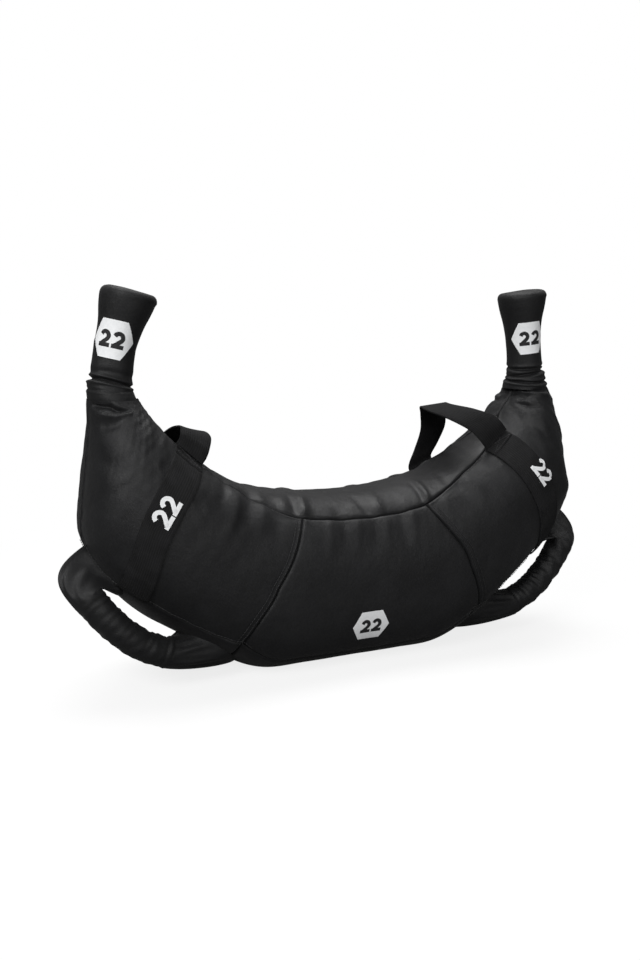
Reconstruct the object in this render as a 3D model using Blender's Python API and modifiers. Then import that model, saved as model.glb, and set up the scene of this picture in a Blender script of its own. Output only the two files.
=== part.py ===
"""Bulgarian bag: a crescent training bag that stands on its belly with both horns up.

Metres, +Z up, the origin under the middle of the belly, +X towards the right horn and -Y towards
the printed front. A place on the bag is given by a station, which runs along the crescent from the
belly (0) to the neck (11) and is negative on the left, and by an angle round the section, which
runs from the inner crest (0) over the front to the outer crest (pi), negative over the back.
"""

import math

import bmesh
import bpy
import numpy as np
from mathutils import Euler, Vector

# Driving sizes of the stuffed crescent
HALF_SPAN = 0.309
HORN_HEIGHT = 0.327
HALF_DEPTH = 0.090

# Cover, filling and clearances
PANEL_THICKNESS = 0.0014
SEAM_GAP = 0.0014
LAYER_GAP = 0.0009
FILLING_GAP = 0.0024
END_GAP = 0.0006
SEAT_GAP = 0.0005

# Webbing bands, sewn strap ends and straps
WEBBING_WIDTH = 0.038
WEBBING_THICKNESS = 0.0012
STRAP_THICKNESS = 0.0024
STRAP_REACH = 0.086
STRAP_RISES = {"left": 0.034, "right": 0.079}
STRAP_TWISTS = {"left": math.radians(30), "right": math.radians(30)}
STRAP_FOOT_SLOPE = math.radians(39)
STRAP_FRONT_ANGLE = 0.43
STRAP_BACK_ANGLE = -0.98
PATCH_FRONT_ANGLES = (0.35, 0.62)
PATCH_BACK_ANGLES = (0.86, 1.16)

# Grips and necks
GRIP_LENGTHS = {"left": 0.105, "right": 0.110}
GRIP_LEANS = {"left": math.radians(13.5), "right": math.radians(7.5)}
GRIP_RADIUS = 0.0223
GRIP_TIP_RADIUS = 0.0318
SLEEVE_THICKNESS = 0.0016
SLEEVE_START = 0.0085
SLEEVE_GAP = 0.0004
CAP_THICKNESS = 0.0055
CAP_CROWN = 0.0022
CAP_EDGE = 0.0012
BALL_RADIUS = 0.0200
BALL_GAP = 0.0007
CUFF_THICKNESS = 0.0016
CUFF_RIM_DROP = 0.0022
CUP_GAP = 0.0010
NECK_RIM_DROP = 0.0105

# Side handles
HANDLE_RADIUS = 0.0135
HANDLE_COVER_THICKNESS = 0.0016
HANDLE_COVER_GAP = 0.0011
HANDLE_COVER_START = 0.0062
HANDLE_BALL_RADIUS = 0.0125
HANDLE_CUP_GAP = 0.0009
HANDLE_STANDOFFS = {"upper": 0.026, "lower": 0.0156}
HANDLE_REACH = 0.0272
HANDLE_LEANS = {"left": math.radians(36), "right": math.radians(8)}
FLARE_RIM_RADIUS = 0.0152
FLARE_RIM_DROP = 0.0065
FLARE_HALF_DEPTHS = {"upper": 0.046, "lower": 0.038}
FLARE_HALF_LENGTHS = {"upper": 0.034, "lower": 0.030}

# The crescent's sections from the belly to the neck: inner crest x and z, outer crest x and z and
# half depth as shares of the driving sizes, then the roundness of the section as an exponent
SECTION_shares = (
    (0.000, 0.602, 0.000, -0.008, 0.978, 2.5),
    (0.162, 0.609, 0.194, -0.008, 0.989, 2.5),
    (0.291, 0.630, 0.372, -0.001, 1.000, 2.5),
    (0.395, 0.657, 0.528, 0.067, 1.000, 2.5),
    (0.485, 0.697, 0.680, 0.174, 0.978, 2.5),
    (0.576, 0.749, 0.822, 0.284, 0.944, 2.5),
    (0.647, 0.804, 0.942, 0.391, 0.889, 2.4),
    (0.699, 0.850, 1.000, 0.511, 0.822, 2.4),
    (0.738, 0.893, 0.994, 0.642, 0.733, 2.3),
    (0.766, 0.930, 0.978, 0.768, 0.611, 2.2),
    (0.784, 0.960, 0.966, 0.884, 0.450, 2.1),
    (0.789, 0.985, 0.960, 0.985, 0.320, 2.0),
)

# Seams as (station, angle) pairs, the belly panel's side seam as (angle, station) pairs, and the
# station of the bands' centre line as (angle, station) pairs
INNER_SEAM_shares = (
    (0.0, 0.73), (1.8, 0.70), (2.5, 0.60), (3.2, 0.51), (4.0, 0.44), (5.0, 0.36), (6.8, 0.12), (7.4, 0.0))
OUTER_SEAM_shares = (
    (0.0, 2.50), (2.0, 2.42), (2.9, 2.26), (3.4, 2.36), (4.0, 2.46), (5.0, 2.58), (5.9, 2.83), (6.8, 3.06),
    (7.2, math.pi))
SIDE_SEAM_shares = (
    (0.40, 1.70), (0.70, 1.80), (1.00, 1.96), (1.30, 2.20), (1.55, 2.50), (1.80, 2.74), (2.26, 2.90))
BAND_FRONT_CENTRE_shares = ((0.3, 5.86), (1.2, 6.02), (1.6, 5.98), (2.0, 5.76), (2.6, 5.44))
BAND_CENTRE_shares = {
    "front": {"left": BAND_FRONT_CENTRE_shares, "right": BAND_FRONT_CENTRE_shares},
    "back": {
        "left": ((0.3, 5.05), (1.2, 5.05), (1.6, 5.08), (2.0, 5.14), (2.6, 5.30)),
        "right": ((0.3, 4.20), (1.2, 4.24), (1.6, 4.44), (2.0, 4.72), (2.6, 5.10))}}
BASE_SEAM_share = 2.9
INNER_GUSSET_END_share = 7.0
SIDE_GUSSET_END_share = 6.7
SAND_END_share = 8.2
STRAP_STATION_shares = {"front": {"left": 5.85, "right": 5.85}, "back": {"left": 5.05, "right": 4.20}}
NECK_CENTRE_shares = (0.873, 0.997)

# The strap's centre line over the line between its roots: depth as a share of the reach, height as
# a share of the rise, and sway towards the neck as a share of the reach
STRAP_PATH_shares = {
    "left": (
        (-0.465, 0.22, 0.01), (-0.44, 0.48, 0.05), (-0.30, 0.80, 0.10), (0.03, 1.00, 0.16), (0.34, 0.98, 0.18),
        (0.62, 0.84, 0.16), (0.82, 0.60, 0.13), (0.92, 0.36, 0.07), (0.93, 0.14, 0.02)),
    "right": (
        (-0.465, 0.20, -0.01), (-0.425, 0.42, -0.03), (-0.27, 0.71, -0.07), (-0.02, 0.95, -0.08),
        (0.22, 0.99, 0.01), (0.44, 0.87, 0.11), (0.64, 0.64, 0.14), (0.82, 0.40, 0.10), (0.95, 0.15, 0.03))}
# The grip's outline from the sleeve's lower rim to the tip, along the length and in the flare
GRIP_OUTLINE_shares = ((0.00, 0.04), (0.26, -0.04), (0.50, 0.02), (0.69, 0.20), (0.85, 0.62), (1.00, 1.0))
# The side handle's centre line from the upper to the lower root, along their distance and reach
HANDLE_PATH_shares = (
    (0.00, 0.00), (0.03, 0.18), (0.10, 0.36), (0.19, 0.53), (0.30, 0.71), (0.41, 0.86), (0.53, 0.95),
    (0.65, 0.96), (0.76, 0.88), (0.86, 0.72), (0.94, 0.50), (0.985, 0.26), (1.00, 0.00))
# Stations of the handles' ball centres and of the middle of their flares
HANDLE_STATION_shares = {"upper": 6.42, "lower": 3.85}
FLARE_STATION_shares = {"upper": 6.66, "lower": 3.58}
HANDLE_ANGLE = 2.85
# Evens out the spacing of points round the sections
SECTION_POWER_share = 1.22
FLARE_RING_shares = ((0.16, 0.0), (0.58, 0.0), (1.0, 0.0), (0.98, 0.24), (0.88, 0.66))

# Facet counts, then rows and columns of the sheets
TURN_STEPS = 18
BALL_STEPS = 5
SECTION_STEPS = 20
SAND_RINGS = 21
WADDING_RINGS = 4
FLARE_STEPS = 14
HANDLE_RINGS = 13
HANDLE_BEVEL = 3
HANDLE_TIP_ANGLES = tuple(math.radians(angle) for angle in (12, 32, 52, 72, 92))
STRAP_RINGS = 16
STRAP_COLUMNS = 5
PATH_STEPS = 16
CENTRE_PANEL_GRID = (14, 7)
SIDE_PANEL_GRID = (16, 10)
INNER_GUSSET_GRID = (24, 6)
BASE_GUSSET_GRID = (16, 8)
SIDE_GUSSET_GRID = (12, 5)
BAND_GRID = (14, 3)
STRAP_END_GRID = (3, 3)

# Steps of the searches, and how close points are welded
NUMERIC_STEP = 1e-3
SEARCH_STEPS = 24
SEARCH_ANGLE = 0.1
FIRST_ANGLE = 1.2
PLACE_ROUNDS = 4
WELD_DISTANCE = 1e-5
ROUND_DIGITS = 9

# Colour and roughness of each material
MATERIAL_shares = {
    "panel": ((0.022, 0.022, 0.024), 0.55),
    "gusset": ((0.020, 0.020, 0.022), 0.60),
    "webbing": ((0.030, 0.030, 0.033), 0.80),
    "grip": ((0.024, 0.024, 0.026), 0.58),
    "cuff": ((0.022, 0.022, 0.024), 0.60),
    "core": ((0.110, 0.105, 0.100), 0.90),
    "inner_bag": ((0.300, 0.290, 0.260), 0.70),
    "wadding": ((0.450, 0.440, 0.420), 0.95),
}

SIDES = {"left": -1, "right": 1}
FACES = {"front": 1, "back": -1}
COLLECTION = "bulgarian_bag"
CUTTERS = "cutters"


def clear_scene():
    """Removes every object that the file already holds, and makes the two collections."""
    for item in list(bpy.data.objects):
        bpy.data.objects.remove(item, do_unlink=True)
    for name in (COLLECTION, CUTTERS):
        group = bpy.data.collections.get(name) or bpy.data.collections.new(name)
        if group.name not in bpy.context.scene.collection.children:
            bpy.context.scene.collection.children.link(group)


def make_material(name, colour, roughness):
    """A Principled material."""
    material = bpy.data.materials.new(name)
    material.use_nodes = True
    shader = material.node_tree.nodes["Principled BSDF"]
    shader.inputs["Base Color"].default_value = (*colour, 1.0)
    shader.inputs["Roughness"].default_value = roughness
    return material


# Tables and curves
def smooth_row(table, at):
    """The table's row at a fractional index, on a smooth curve through all rows."""
    last = len(table) - 1
    index = min(max(int(math.floor(at)), 0), last - 1)
    part = at - index
    before = table[index - 1] if index > 0 else table[1] * np.array([-1, 1, -1, 1, 1, 1])
    after = table[index + 2] if index + 2 <= last else 2 * table[last] - table[last - 1]
    return curve_point(before, table[index], table[index + 1], after, part)


def curve_point(before, here, there, after, part):
    """A point between two others on a smooth curve through four."""
    square = 2 * before - 5 * here + 4 * there - after
    cube = 3 * here - 3 * there + after - before
    return here + part * (there - before + part * (square + part * cube)) / 2


def spread_angle(angle, power):
    """Stretches an angle towards the section's corners, or back with the inverse power."""
    sine, cosine = math.sin(angle), math.cos(angle)
    turned = math.atan2(math.copysign(abs(sine) ** power, sine), math.copysign(abs(cosine) ** power, cosine))
    return turned + 2 * math.pi * round((angle - turned) / (2 * math.pi))


def angle_between(low, high, share):
    """The angle at a share of the way between two, evenly spaced over the rounded section."""
    start = spread_angle(low, 1 / SECTION_POWER_share)
    end = spread_angle(high, 1 / SECTION_POWER_share)
    return spread_angle(start + (end - start) * share, SECTION_POWER_share)


def look_up(table, at):
    """Reads a table of (place, value) pairs, straight between its entries."""
    return float(np.interp(at, [row[0] for row in table], [row[1] for row in table]))


def smooth_path(points, count):
    """Count points evenly spaced along a smooth curve through the given points."""
    points = [np.array(point, float) for point in points]
    padded = [2 * points[0] - points[1]] + points + [2 * points[-1] - points[-2]]
    fine = []
    for index in range(len(points) - 1):
        for part in np.linspace(0, 1, PATH_STEPS, endpoint=False):
            fine.append(curve_point(*padded[index:index + 4], part))
    fine = np.array(fine + [points[-1]])
    lengths = np.concatenate([[0], np.cumsum(np.linalg.norm(np.diff(fine, axis=0), axis=1))])
    places = np.linspace(0, lengths[-1], count)
    return np.stack([np.interp(places, lengths, fine[:, k]) for k in range(fine.shape[1])], axis=1)


# The crescent's surface
SECTION_SIZES = np.array([HALF_SPAN, HORN_HEIGHT, HALF_SPAN, HORN_HEIGHT, HALF_DEPTH, 1])
SECTIONS = np.array(SECTION_shares) * SECTION_SIZES
NECK_CENTRES = {
    name: Vector((side * NECK_CENTRE_shares[0] * HALF_SPAN, 0, NECK_CENTRE_shares[1] * HORN_HEIGHT))
    for name, side in SIDES.items()}
RIM_HEIGHT = NECK_CENTRE_shares[1] * HORN_HEIGHT - NECK_RIM_DROP


def raw_point(station, angle):
    """A point of the crescent's outer surface before the belly is flattened."""
    inner_x, inner_z, outer_x, outer_z, depth, roundness = smooth_row(SECTIONS, abs(station))
    along = math.copysign(abs(math.cos(angle)) ** (2 / roundness), math.cos(angle))
    across = math.copysign(abs(math.sin(angle)) ** (2 / roundness), math.sin(angle))
    x = (inner_x + outer_x) / 2 + (inner_x - outer_x) / 2 * along
    z = (inner_z + outer_z) / 2 + (inner_z - outer_z) / 2 * along
    return np.array([math.copysign(x, station * x), -depth * across, z])


def slopes(station, angle):
    """The surface's change along the crescent and round the section."""
    step = NUMERIC_STEP
    place = max(abs(station), step)
    mirror = np.array([math.copysign(1, station), 1, 1])
    along = (raw_point(place + step, angle) - raw_point(place - step, angle)) / (2 * step)
    around = (raw_point(place, angle + step) - raw_point(place, angle - step)) / (2 * step)
    return along * mirror, around * mirror


def outward(station, angle):
    """The surface's outward direction."""
    along, around = slopes(station, angle)
    direction = np.cross(around, along) * math.copysign(1, station)
    return direction / np.linalg.norm(direction)


def skin_point(station, angle, inset=0.0):
    """A point at a depth under the crescent's surface, with the belly flat where it rests."""
    point = raw_point(station, angle) - inset * outward(station, angle)
    point[2] = max(point[2], inset)
    return point


def rim_station(angle):
    """The station at which the cover reaches its level rim under the neck."""
    low, high = SAND_END_share, len(SECTIONS) - 1
    for _ in range(SEARCH_STEPS):
        middle = (low + high) / 2
        if raw_point(middle, angle)[2] < RIM_HEIGHT:
            low = middle
        else:
            high = middle
    return low


# Mesh builders
def link_object(name, mesh, material, origin=(0, 0, 0)):
    """Puts a mesh in the scene as one named object, with its origin at a given place."""
    mesh.materials.append(material)
    mesh.shade_smooth()
    item = bpy.data.objects.new(name, mesh)
    item.location = origin
    bpy.data.collections[COLLECTION].objects.link(item)
    return item


def lofted_mesh(name, rings, origin, around, capped):
    """A mesh through rows of points: an open sheet, or closed around, with or without end caps."""
    build = bmesh.new()
    shift = Vector(origin)
    rows = [[build.verts.new(Vector(point) - shift) for point in ring] for ring in rings]
    for low, high in zip(rows[:-1], rows[1:]):
        count = len(low)
        for here in range(count if around else count - 1):
            there = (here + 1) % count
            build.faces.new((low[here], low[there], high[there], high[here]))
    if capped:
        build.faces.new(rows[0][::-1])
        build.faces.new(rows[-1])
        if build.calc_volume(signed=True) < 0:
            bmesh.ops.reverse_faces(build, faces=build.faces)
    mesh = bpy.data.meshes.new(name)
    build.to_mesh(mesh)
    build.free()
    return mesh


def add_loft(name, rings, material, origin=(0, 0, 0)):
    """A closed solid through rings."""
    return link_object(name, lofted_mesh(name, rings, origin, around=True, capped=True), material, origin)


def add_sheet(name, rows, thickness, material, origin=(0, 0, 0), offset=-1):
    """An open lofted surface with a thickness, on its inner side or to both sides."""
    item = link_object(name, lofted_mesh(name, rows, origin, around=False, capped=False), material, origin)
    shell = item.modifiers.new("thickness", "SOLIDIFY")
    shell.thickness = thickness
    shell.offset = offset
    return item


def add_turned(name, outline, material, origin, lean):
    """A turned piece: an outline of (radius, height) points round the leaning axis at its origin."""
    build = bmesh.new()
    points = [build.verts.new((radius, 0, height)) for radius, height in outline]
    for first, second in zip(points[:-1], points[1:]):
        build.edges.new((first, second))
    if outline[0][0] > 0:
        build.edges.new((points[-1], points[0]))
    mesh = bpy.data.meshes.new(name)
    build.to_mesh(mesh)
    build.free()
    item = link_object(name, mesh, material, origin)
    item.rotation_euler = Euler((0, lean, 0))
    turn = item.modifiers.new("turn", "SCREW")
    turn.steps = TURN_STEPS
    turn.render_steps = TURN_STEPS
    turn.axis = "Z"
    turn.use_merge_vertices = True
    turn.merge_threshold = WELD_DISTANCE
    turn.use_smooth_shade = True
    return item


def cut_cup(item, name, centre, radius):
    """Cuts a ball's seat out of an object."""
    build = bmesh.new()
    bmesh.ops.create_uvsphere(build, u_segments=TURN_STEPS, v_segments=TURN_STEPS // 2, radius=radius)
    mesh = bpy.data.meshes.new(name)
    build.to_mesh(mesh)
    build.free()
    cutter = bpy.data.objects.new(name, mesh)
    cutter.location = centre
    cutter.hide_render = True
    cutter.display_type = "WIRE"
    bpy.data.collections[CUTTERS].objects.link(cutter)
    cut = item.modifiers.new("seat", "BOOLEAN")
    cut.operation = "DIFFERENCE"
    cut.object = cutter


def skin_rows(place, grid, inset, flip):
    """Rows of surface points, where place gives the station and angle at two shares from 0 to 1."""
    rows, columns = grid
    lines = []
    for row in range(rows + 1):
        line = [skin_point(*place(row / rows, column / columns), inset) for column in range(columns + 1)]
        lines.append(line[::-1] if flip else line)
    return lines


# Filling
def ring_angle(step):
    """The angle of one of the filling's points round the section."""
    return spread_angle(2 * math.pi * step / SECTION_STEPS, SECTION_POWER_share)


def section_ring(station, inset):
    """A closed ring round the section, at a depth under the surface."""
    return [skin_point(station, ring_angle(step), inset) for step in range(SECTION_STEPS)]


def build_filling(materials):
    """The sand filled inner bag, and the wadding that fills each horn above it."""
    inset = PANEL_THICKNESS + FILLING_GAP
    stations = np.linspace(-SAND_END_share, SAND_END_share, SAND_RINGS)
    add_loft("sand_bag", [section_ring(station, inset) for station in stations], materials["inner_bag"])
    for name, side in SIDES.items():
        start = SAND_END_share + END_GAP / np.linalg.norm(slopes(SAND_END_share, math.pi / 2)[0])
        rings = []
        for share in np.linspace(0, 1, WADDING_RINGS):
            ring = []
            for step in range(SECTION_STEPS):
                angle = ring_angle(step)
                station = start + (rim_station(angle) - start) * share
                point = skin_point(side * station, angle, inset)
                if share == 1:
                    point[2] = RIM_HEIGHT
                ring.append(point)
            rings.append(ring)
        wadding = add_loft(f"{name}_wadding", rings, materials["wadding"])
        radius = BALL_RADIUS + BALL_GAP + CUFF_THICKNESS + CUP_GAP
        cut_cup(wadding, f"{name}_neck_cup", NECK_CENTRES[name], radius)


# Cover
def seam_angles(station):
    """Angles of the inner and outer front seams, drawn in by half a seam gap."""
    place = abs(station)
    inner = look_up(INNER_SEAM_shares, place)
    outer = look_up(OUTER_SEAM_shares, place)
    return inner + half_gap_angle(place, inner, 1), outer - half_gap_angle(place, outer, -1)


def half_gap_angle(station, angle, sense):
    """The angle round the section that covers half a seam gap."""
    here = raw_point(station, angle)
    low, high = 0.0, SEARCH_ANGLE
    for _ in range(SEARCH_STEPS):
        middle = (low + high) / 2
        if np.linalg.norm(raw_point(station, angle + sense * middle) - here) < SEAM_GAP / 2:
            low = middle
        else:
            high = middle
    return high


def half_gap_station(station, angle):
    """The part of a station that covers half a seam gap."""
    return SEAM_GAP / 2 / np.linalg.norm(slopes(station, angle)[0])


def side_seam(angle):
    """The station of the belly panel's side seam."""
    return look_up(SIDE_SEAM_shares, angle)


def panel_place(first, last):
    """Places on a panel between two station curves and between the front seams."""
    def place(along, across):
        angle = FIRST_ANGLE
        for _ in range(PLACE_ROUNDS):
            station = first(angle) + (last(angle) - first(angle)) * along
            low, high = seam_angles(station)
            angle = angle_between(low, high, across)
        return station, angle
    return place


def build_panels(materials):
    """The three front and three back panels of the cover."""
    def centre_end(angle):
        return side_seam(angle) - half_gap_station(side_seam(angle), angle)

    def side_start(angle):
        return side_seam(angle) + half_gap_station(side_seam(angle), angle)

    centre = panel_place(lambda angle: -centre_end(angle), centre_end)
    side_place = panel_place(side_start, rim_station)
    for face, sense in FACES.items():
        def belly(along, across):
            station, angle = centre(along, across)
            return station, sense * angle

        rows = skin_rows(belly, CENTRE_PANEL_GRID, 0.0, flip=sense < 0)
        add_sheet(f"{face}_centre_panel", rows, PANEL_THICKNESS, materials["panel"])
        for name, side in SIDES.items():
            def flank(along, across):
                station, angle = side_place(along, across)
                return side * station, sense * angle

            rows = skin_rows(flank, SIDE_PANEL_GRID, 0.0, flip=side * sense < 0)
            add_sheet(f"{face}_{name}_panel", rows, PANEL_THICKNESS, materials["panel"])


def build_gussets(materials):
    """The strips that join front and back: one inside the crescent, one under it, two up its sides."""
    def inner_place(along, across):
        station = INNER_GUSSET_END_share * (2 * along - 1)
        half = look_up(INNER_SEAM_shares, abs(station))
        half -= half_gap_angle(abs(station), half, -1)
        return station, angle_between(-half, half, across)

    rows = skin_rows(inner_place, INNER_GUSSET_GRID, 0.0, flip=False)
    add_sheet("inner_gusset", rows, PANEL_THICKNESS, materials["gusset"])

    def outer_band(station, across):
        edge = look_up(OUTER_SEAM_shares, abs(station))
        edge += half_gap_angle(abs(station), edge, 1)
        return angle_between(edge, 2 * math.pi - edge, across)

    base_end = BASE_SEAM_share - half_gap_station(BASE_SEAM_share, math.pi)

    def base_place(along, across):
        station = base_end * (2 * along - 1)
        return station, outer_band(station, across)

    rows = skin_rows(base_place, BASE_GUSSET_GRID, 0.0, flip=False)
    add_sheet("base_gusset", rows, PANEL_THICKNESS, materials["gusset"])
    side_start = BASE_SEAM_share + half_gap_station(BASE_SEAM_share, math.pi)
    for name, side in SIDES.items():
        def side_place(along, across):
            station = side_start + (SIDE_GUSSET_END_share - side_start) * along
            return side * station, outer_band(station, across)

        rows = skin_rows(side_place, SIDE_GUSSET_GRID, 0.0, flip=side < 0)
        add_sheet(f"{name}_side_gusset", rows, PANEL_THICKNESS, materials["gusset"])


# Webbing
def webbing_place(low_angle, high_angle, face, name):
    """Places on a webbing strip that follows the band's centre line round the section."""
    def place(along, across):
        angle = low_angle + (high_angle(0) - low_angle) * along
        for _ in range(PLACE_ROUNDS):
            middle = look_up(BAND_CENTRE_shares[face][name], angle)
            width = WEBBING_WIDTH / np.linalg.norm(slopes(middle, angle)[0])
            station = middle + width * (across - 1 / 2)
            angle = low_angle + (high_angle(station) - low_angle) * along
        return SIDES[name] * station, FACES[face] * angle
    return place


def build_bands(materials):
    """The four webbing bands and the strap ends sewn down at their tops."""
    inset = -(LAYER_GAP + WEBBING_THICKNESS)
    for face, sense in FACES.items():
        top, foot = PATCH_FRONT_ANGLES if face == "front" else PATCH_BACK_ANGLES
        for name, side in SIDES.items():
            flip = side * sense > 0
            start = foot + SEAM_GAP / np.linalg.norm(slopes(STRAP_STATION_shares[face][name], foot)[1])
            place = webbing_place(start, lambda station: seam_angles(station)[1], face, name)
            rows = skin_rows(place, BAND_GRID, inset, flip)
            add_sheet(f"{face}_{name}_band", rows, WEBBING_THICKNESS, materials["webbing"])
            place = webbing_place(top, lambda station: foot, face, name)
            rows = skin_rows(place, STRAP_END_GRID, inset, flip)
            add_sheet(f"{face}_{name}_strap_end", rows, WEBBING_THICKNESS, materials["webbing"])


def strap_roots(name):
    """Centres of a strap's front and back feet, which also carry its hinge line."""
    inset = -(LAYER_GAP + WEBBING_THICKNESS + SEAT_GAP + STRAP_THICKNESS / 4)
    front = skin_point(SIDES[name] * STRAP_STATION_shares["front"][name], STRAP_FRONT_ANGLE, inset)
    back = skin_point(SIDES[name] * STRAP_STATION_shares["back"][name], STRAP_BACK_ANGLE, inset)
    return Vector(front), Vector(back)


def strap_frame(name, face):
    """Directions along the crescent and away from its crest, where a strap's foot stands."""
    along = Vector(slopes(SIDES[name] * STRAP_STATION_shares[face][name], 0.0)[0]).normalized()
    return along, along.cross(Vector((0, 1, 0))).normalized() * SIDES[name]


def build_strap(name, materials):
    """A webbing loop from the front root over the crest to the back root, its feet cut to a point."""
    front, back = strap_roots(name)
    along_front, up_front = strap_frame(name, "front")
    along_back, up_back = strap_frame(name, "back")
    path = [(front.y, 0.0, 0.0)]
    for depth, height, sway in STRAP_PATH_shares[name]:
        path.append((depth * STRAP_REACH, height * STRAP_RISES[name], sway * STRAP_REACH))
    path.append((back.y, 0.0, 0.0))
    rows = []
    for index, (depth, height, sway) in enumerate(smooth_path(path, STRAP_RINGS)):
        progress = min(max((depth - front.y) / (back.y - front.y), 0), 1)
        along = along_front.lerp(along_back, progress).normalized()
        up = up_front.lerp(up_back, progress).normalized()
        foot = front.lerp(back, progress)
        centre = foot + up * height + along * sway + Vector((0, depth - foot.y, 0))
        twist = STRAP_TWISTS[name] * math.sin(math.pi * index / (STRAP_RINGS - 1))
        across = along * math.cos(twist) - up * math.sin(twist)
        row = []
        for share in np.linspace(-1, 1, STRAP_COLUMNS):
            point = centre + across * (share * WEBBING_WIDTH / 2)
            if index in (0, STRAP_RINGS - 1):
                point += up * (abs(share) * WEBBING_WIDTH / 2 * math.tan(STRAP_FOOT_SLOPE))
            row.append(point)
        rows.append(row)
    add_sheet(f"{name}_strap", rows, STRAP_THICKNESS, materials["webbing"], front, offset=0)


# Grips
def grip_outline(name, inset=0.0):
    """The grip's outer outline from the sleeve's start to its end under the cap, (radius, height)."""
    end = GRIP_LENGTHS[name] - CAP_THICKNESS - SLEEVE_GAP
    points = []
    for along, flare in GRIP_OUTLINE_shares:
        radius = GRIP_RADIUS + (GRIP_TIP_RADIUS - GRIP_RADIUS) * flare - inset
        points.append((radius, SLEEVE_START + (end - SLEEVE_START) * along))
    return points


def ball_arc(radius, low_height, high_height):
    """Points of a ball's outline between two heights, from low to high."""
    low = math.asin(max(low_height / radius, -1))
    high = math.asin(min(high_height / radius, 1))
    angles = np.linspace(low, high, BALL_STEPS + 1)
    return [(round(radius * math.cos(angle), ROUND_DIGITS), radius * math.sin(angle)) for angle in angles]


def build_grip(name, side, materials):
    """A grip: its core with a ball foot, the sleeve round it, the end cap and the neck cuff."""
    centre = NECK_CENTRES[name]
    lean = -side * GRIP_LEANS[name]
    length = GRIP_LENGTHS[name]
    inset = SLEEVE_THICKNESS + SLEEVE_GAP
    shaft = grip_outline(name, inset)
    ball = ball_arc(BALL_RADIUS, -BALL_RADIUS, SLEEVE_START)
    outline = ball[:-1] + [(ball[-1][0], SLEEVE_START)] + shaft + [(0.0, shaft[-1][1])]
    add_turned(f"{name}_grip_core", outline[::-1], materials["core"], centre, lean)
    outer = grip_outline(name)
    inner = grip_outline(name, SLEEVE_THICKNESS)
    add_turned(f"{name}_grip_sleeve", outer[::-1] + inner, materials["grip"], centre, lean)
    bottom = length - CAP_THICKNESS
    edge = GRIP_TIP_RADIUS
    cap = [(0.0, length + CAP_CROWN / 2), (edge / 2, length + CAP_CROWN / 3)]
    cap += [(edge - CAP_EDGE, length - CAP_EDGE), (edge, length - 2 * CAP_EDGE)]
    cap += [(edge, bottom), (0.0, bottom)]
    add_turned(f"{name}_grip_end_cap", cap, materials["grip"], centre, lean)
    inside = BALL_RADIUS + BALL_GAP
    outside = inside + CUFF_THICKNESS
    bowl = ball_arc(inside, -inside, -CUFF_RIM_DROP) + ball_arc(outside, -outside, -CUFF_RIM_DROP)[::-1]
    add_turned(f"{name}_neck_cuff", bowl, materials["cuff"], centre, lean)


# Side handles
def handle_ball(side, root):
    """The centre of the ball at one root of a side handle."""
    return Vector(skin_point(side * HANDLE_STATION_shares[root], HANDLE_ANGLE, -HANDLE_STANDOFFS[root]))


def handle_path(name, side, count):
    """Points along the side handle's centre line from the upper to the lower ball centre."""
    upper, lower = handle_ball(side, "upper"), handle_ball(side, "lower")
    axis = lower - upper
    outside = axis.cross(Vector((0, 1, 0))).normalized()
    if outside.x * side < 0:
        outside.negate()
    lean = HANDLE_LEANS[name]
    reach = (outside * math.cos(lean) - Vector((0, 1, 0)) * math.sin(lean)) * HANDLE_REACH
    points = [upper + axis * along + reach * out for along, out in HANDLE_PATH_shares]
    return [Vector(point) for point in smooth_path(points, count)]


def tube_curve(name, points, radii, closed_ends):
    """A round tube along points, as a curve object."""
    data = bpy.data.curves.new(name, "CURVE")
    data.dimensions = "3D"
    data.bevel_depth = 1.0
    data.bevel_resolution = HANDLE_BEVEL
    data.use_fill_caps = closed_ends
    data.twist_mode = "MINIMUM"
    spline = data.splines.new("POLY")
    spline.points.add(len(points) - 1)
    for target, point, radius in zip(spline.points, points, radii):
        target.co = (*point, 1)
        target.radius = radius
    item = bpy.data.objects.new(name, data)
    bpy.data.collections[COLLECTION].objects.link(item)
    return item


def curve_to_mesh(item, material, origin):
    """Turns a curve object into a mesh object with welded caps and its origin at a place."""
    name = item.name
    evaluated = item.evaluated_get(bpy.context.evaluated_depsgraph_get())
    mesh = bpy.data.meshes.new_from_object(evaluated)
    build = bmesh.new()
    build.from_mesh(mesh)
    bmesh.ops.remove_doubles(build, verts=build.verts, dist=WELD_DISTANCE)
    bmesh.ops.translate(build, verts=build.verts, vec=-Vector(origin))
    build.to_mesh(mesh)
    build.free()
    bpy.data.objects.remove(item, do_unlink=True)
    mesh.materials.clear()
    return link_object(name, mesh, material, origin)


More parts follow.
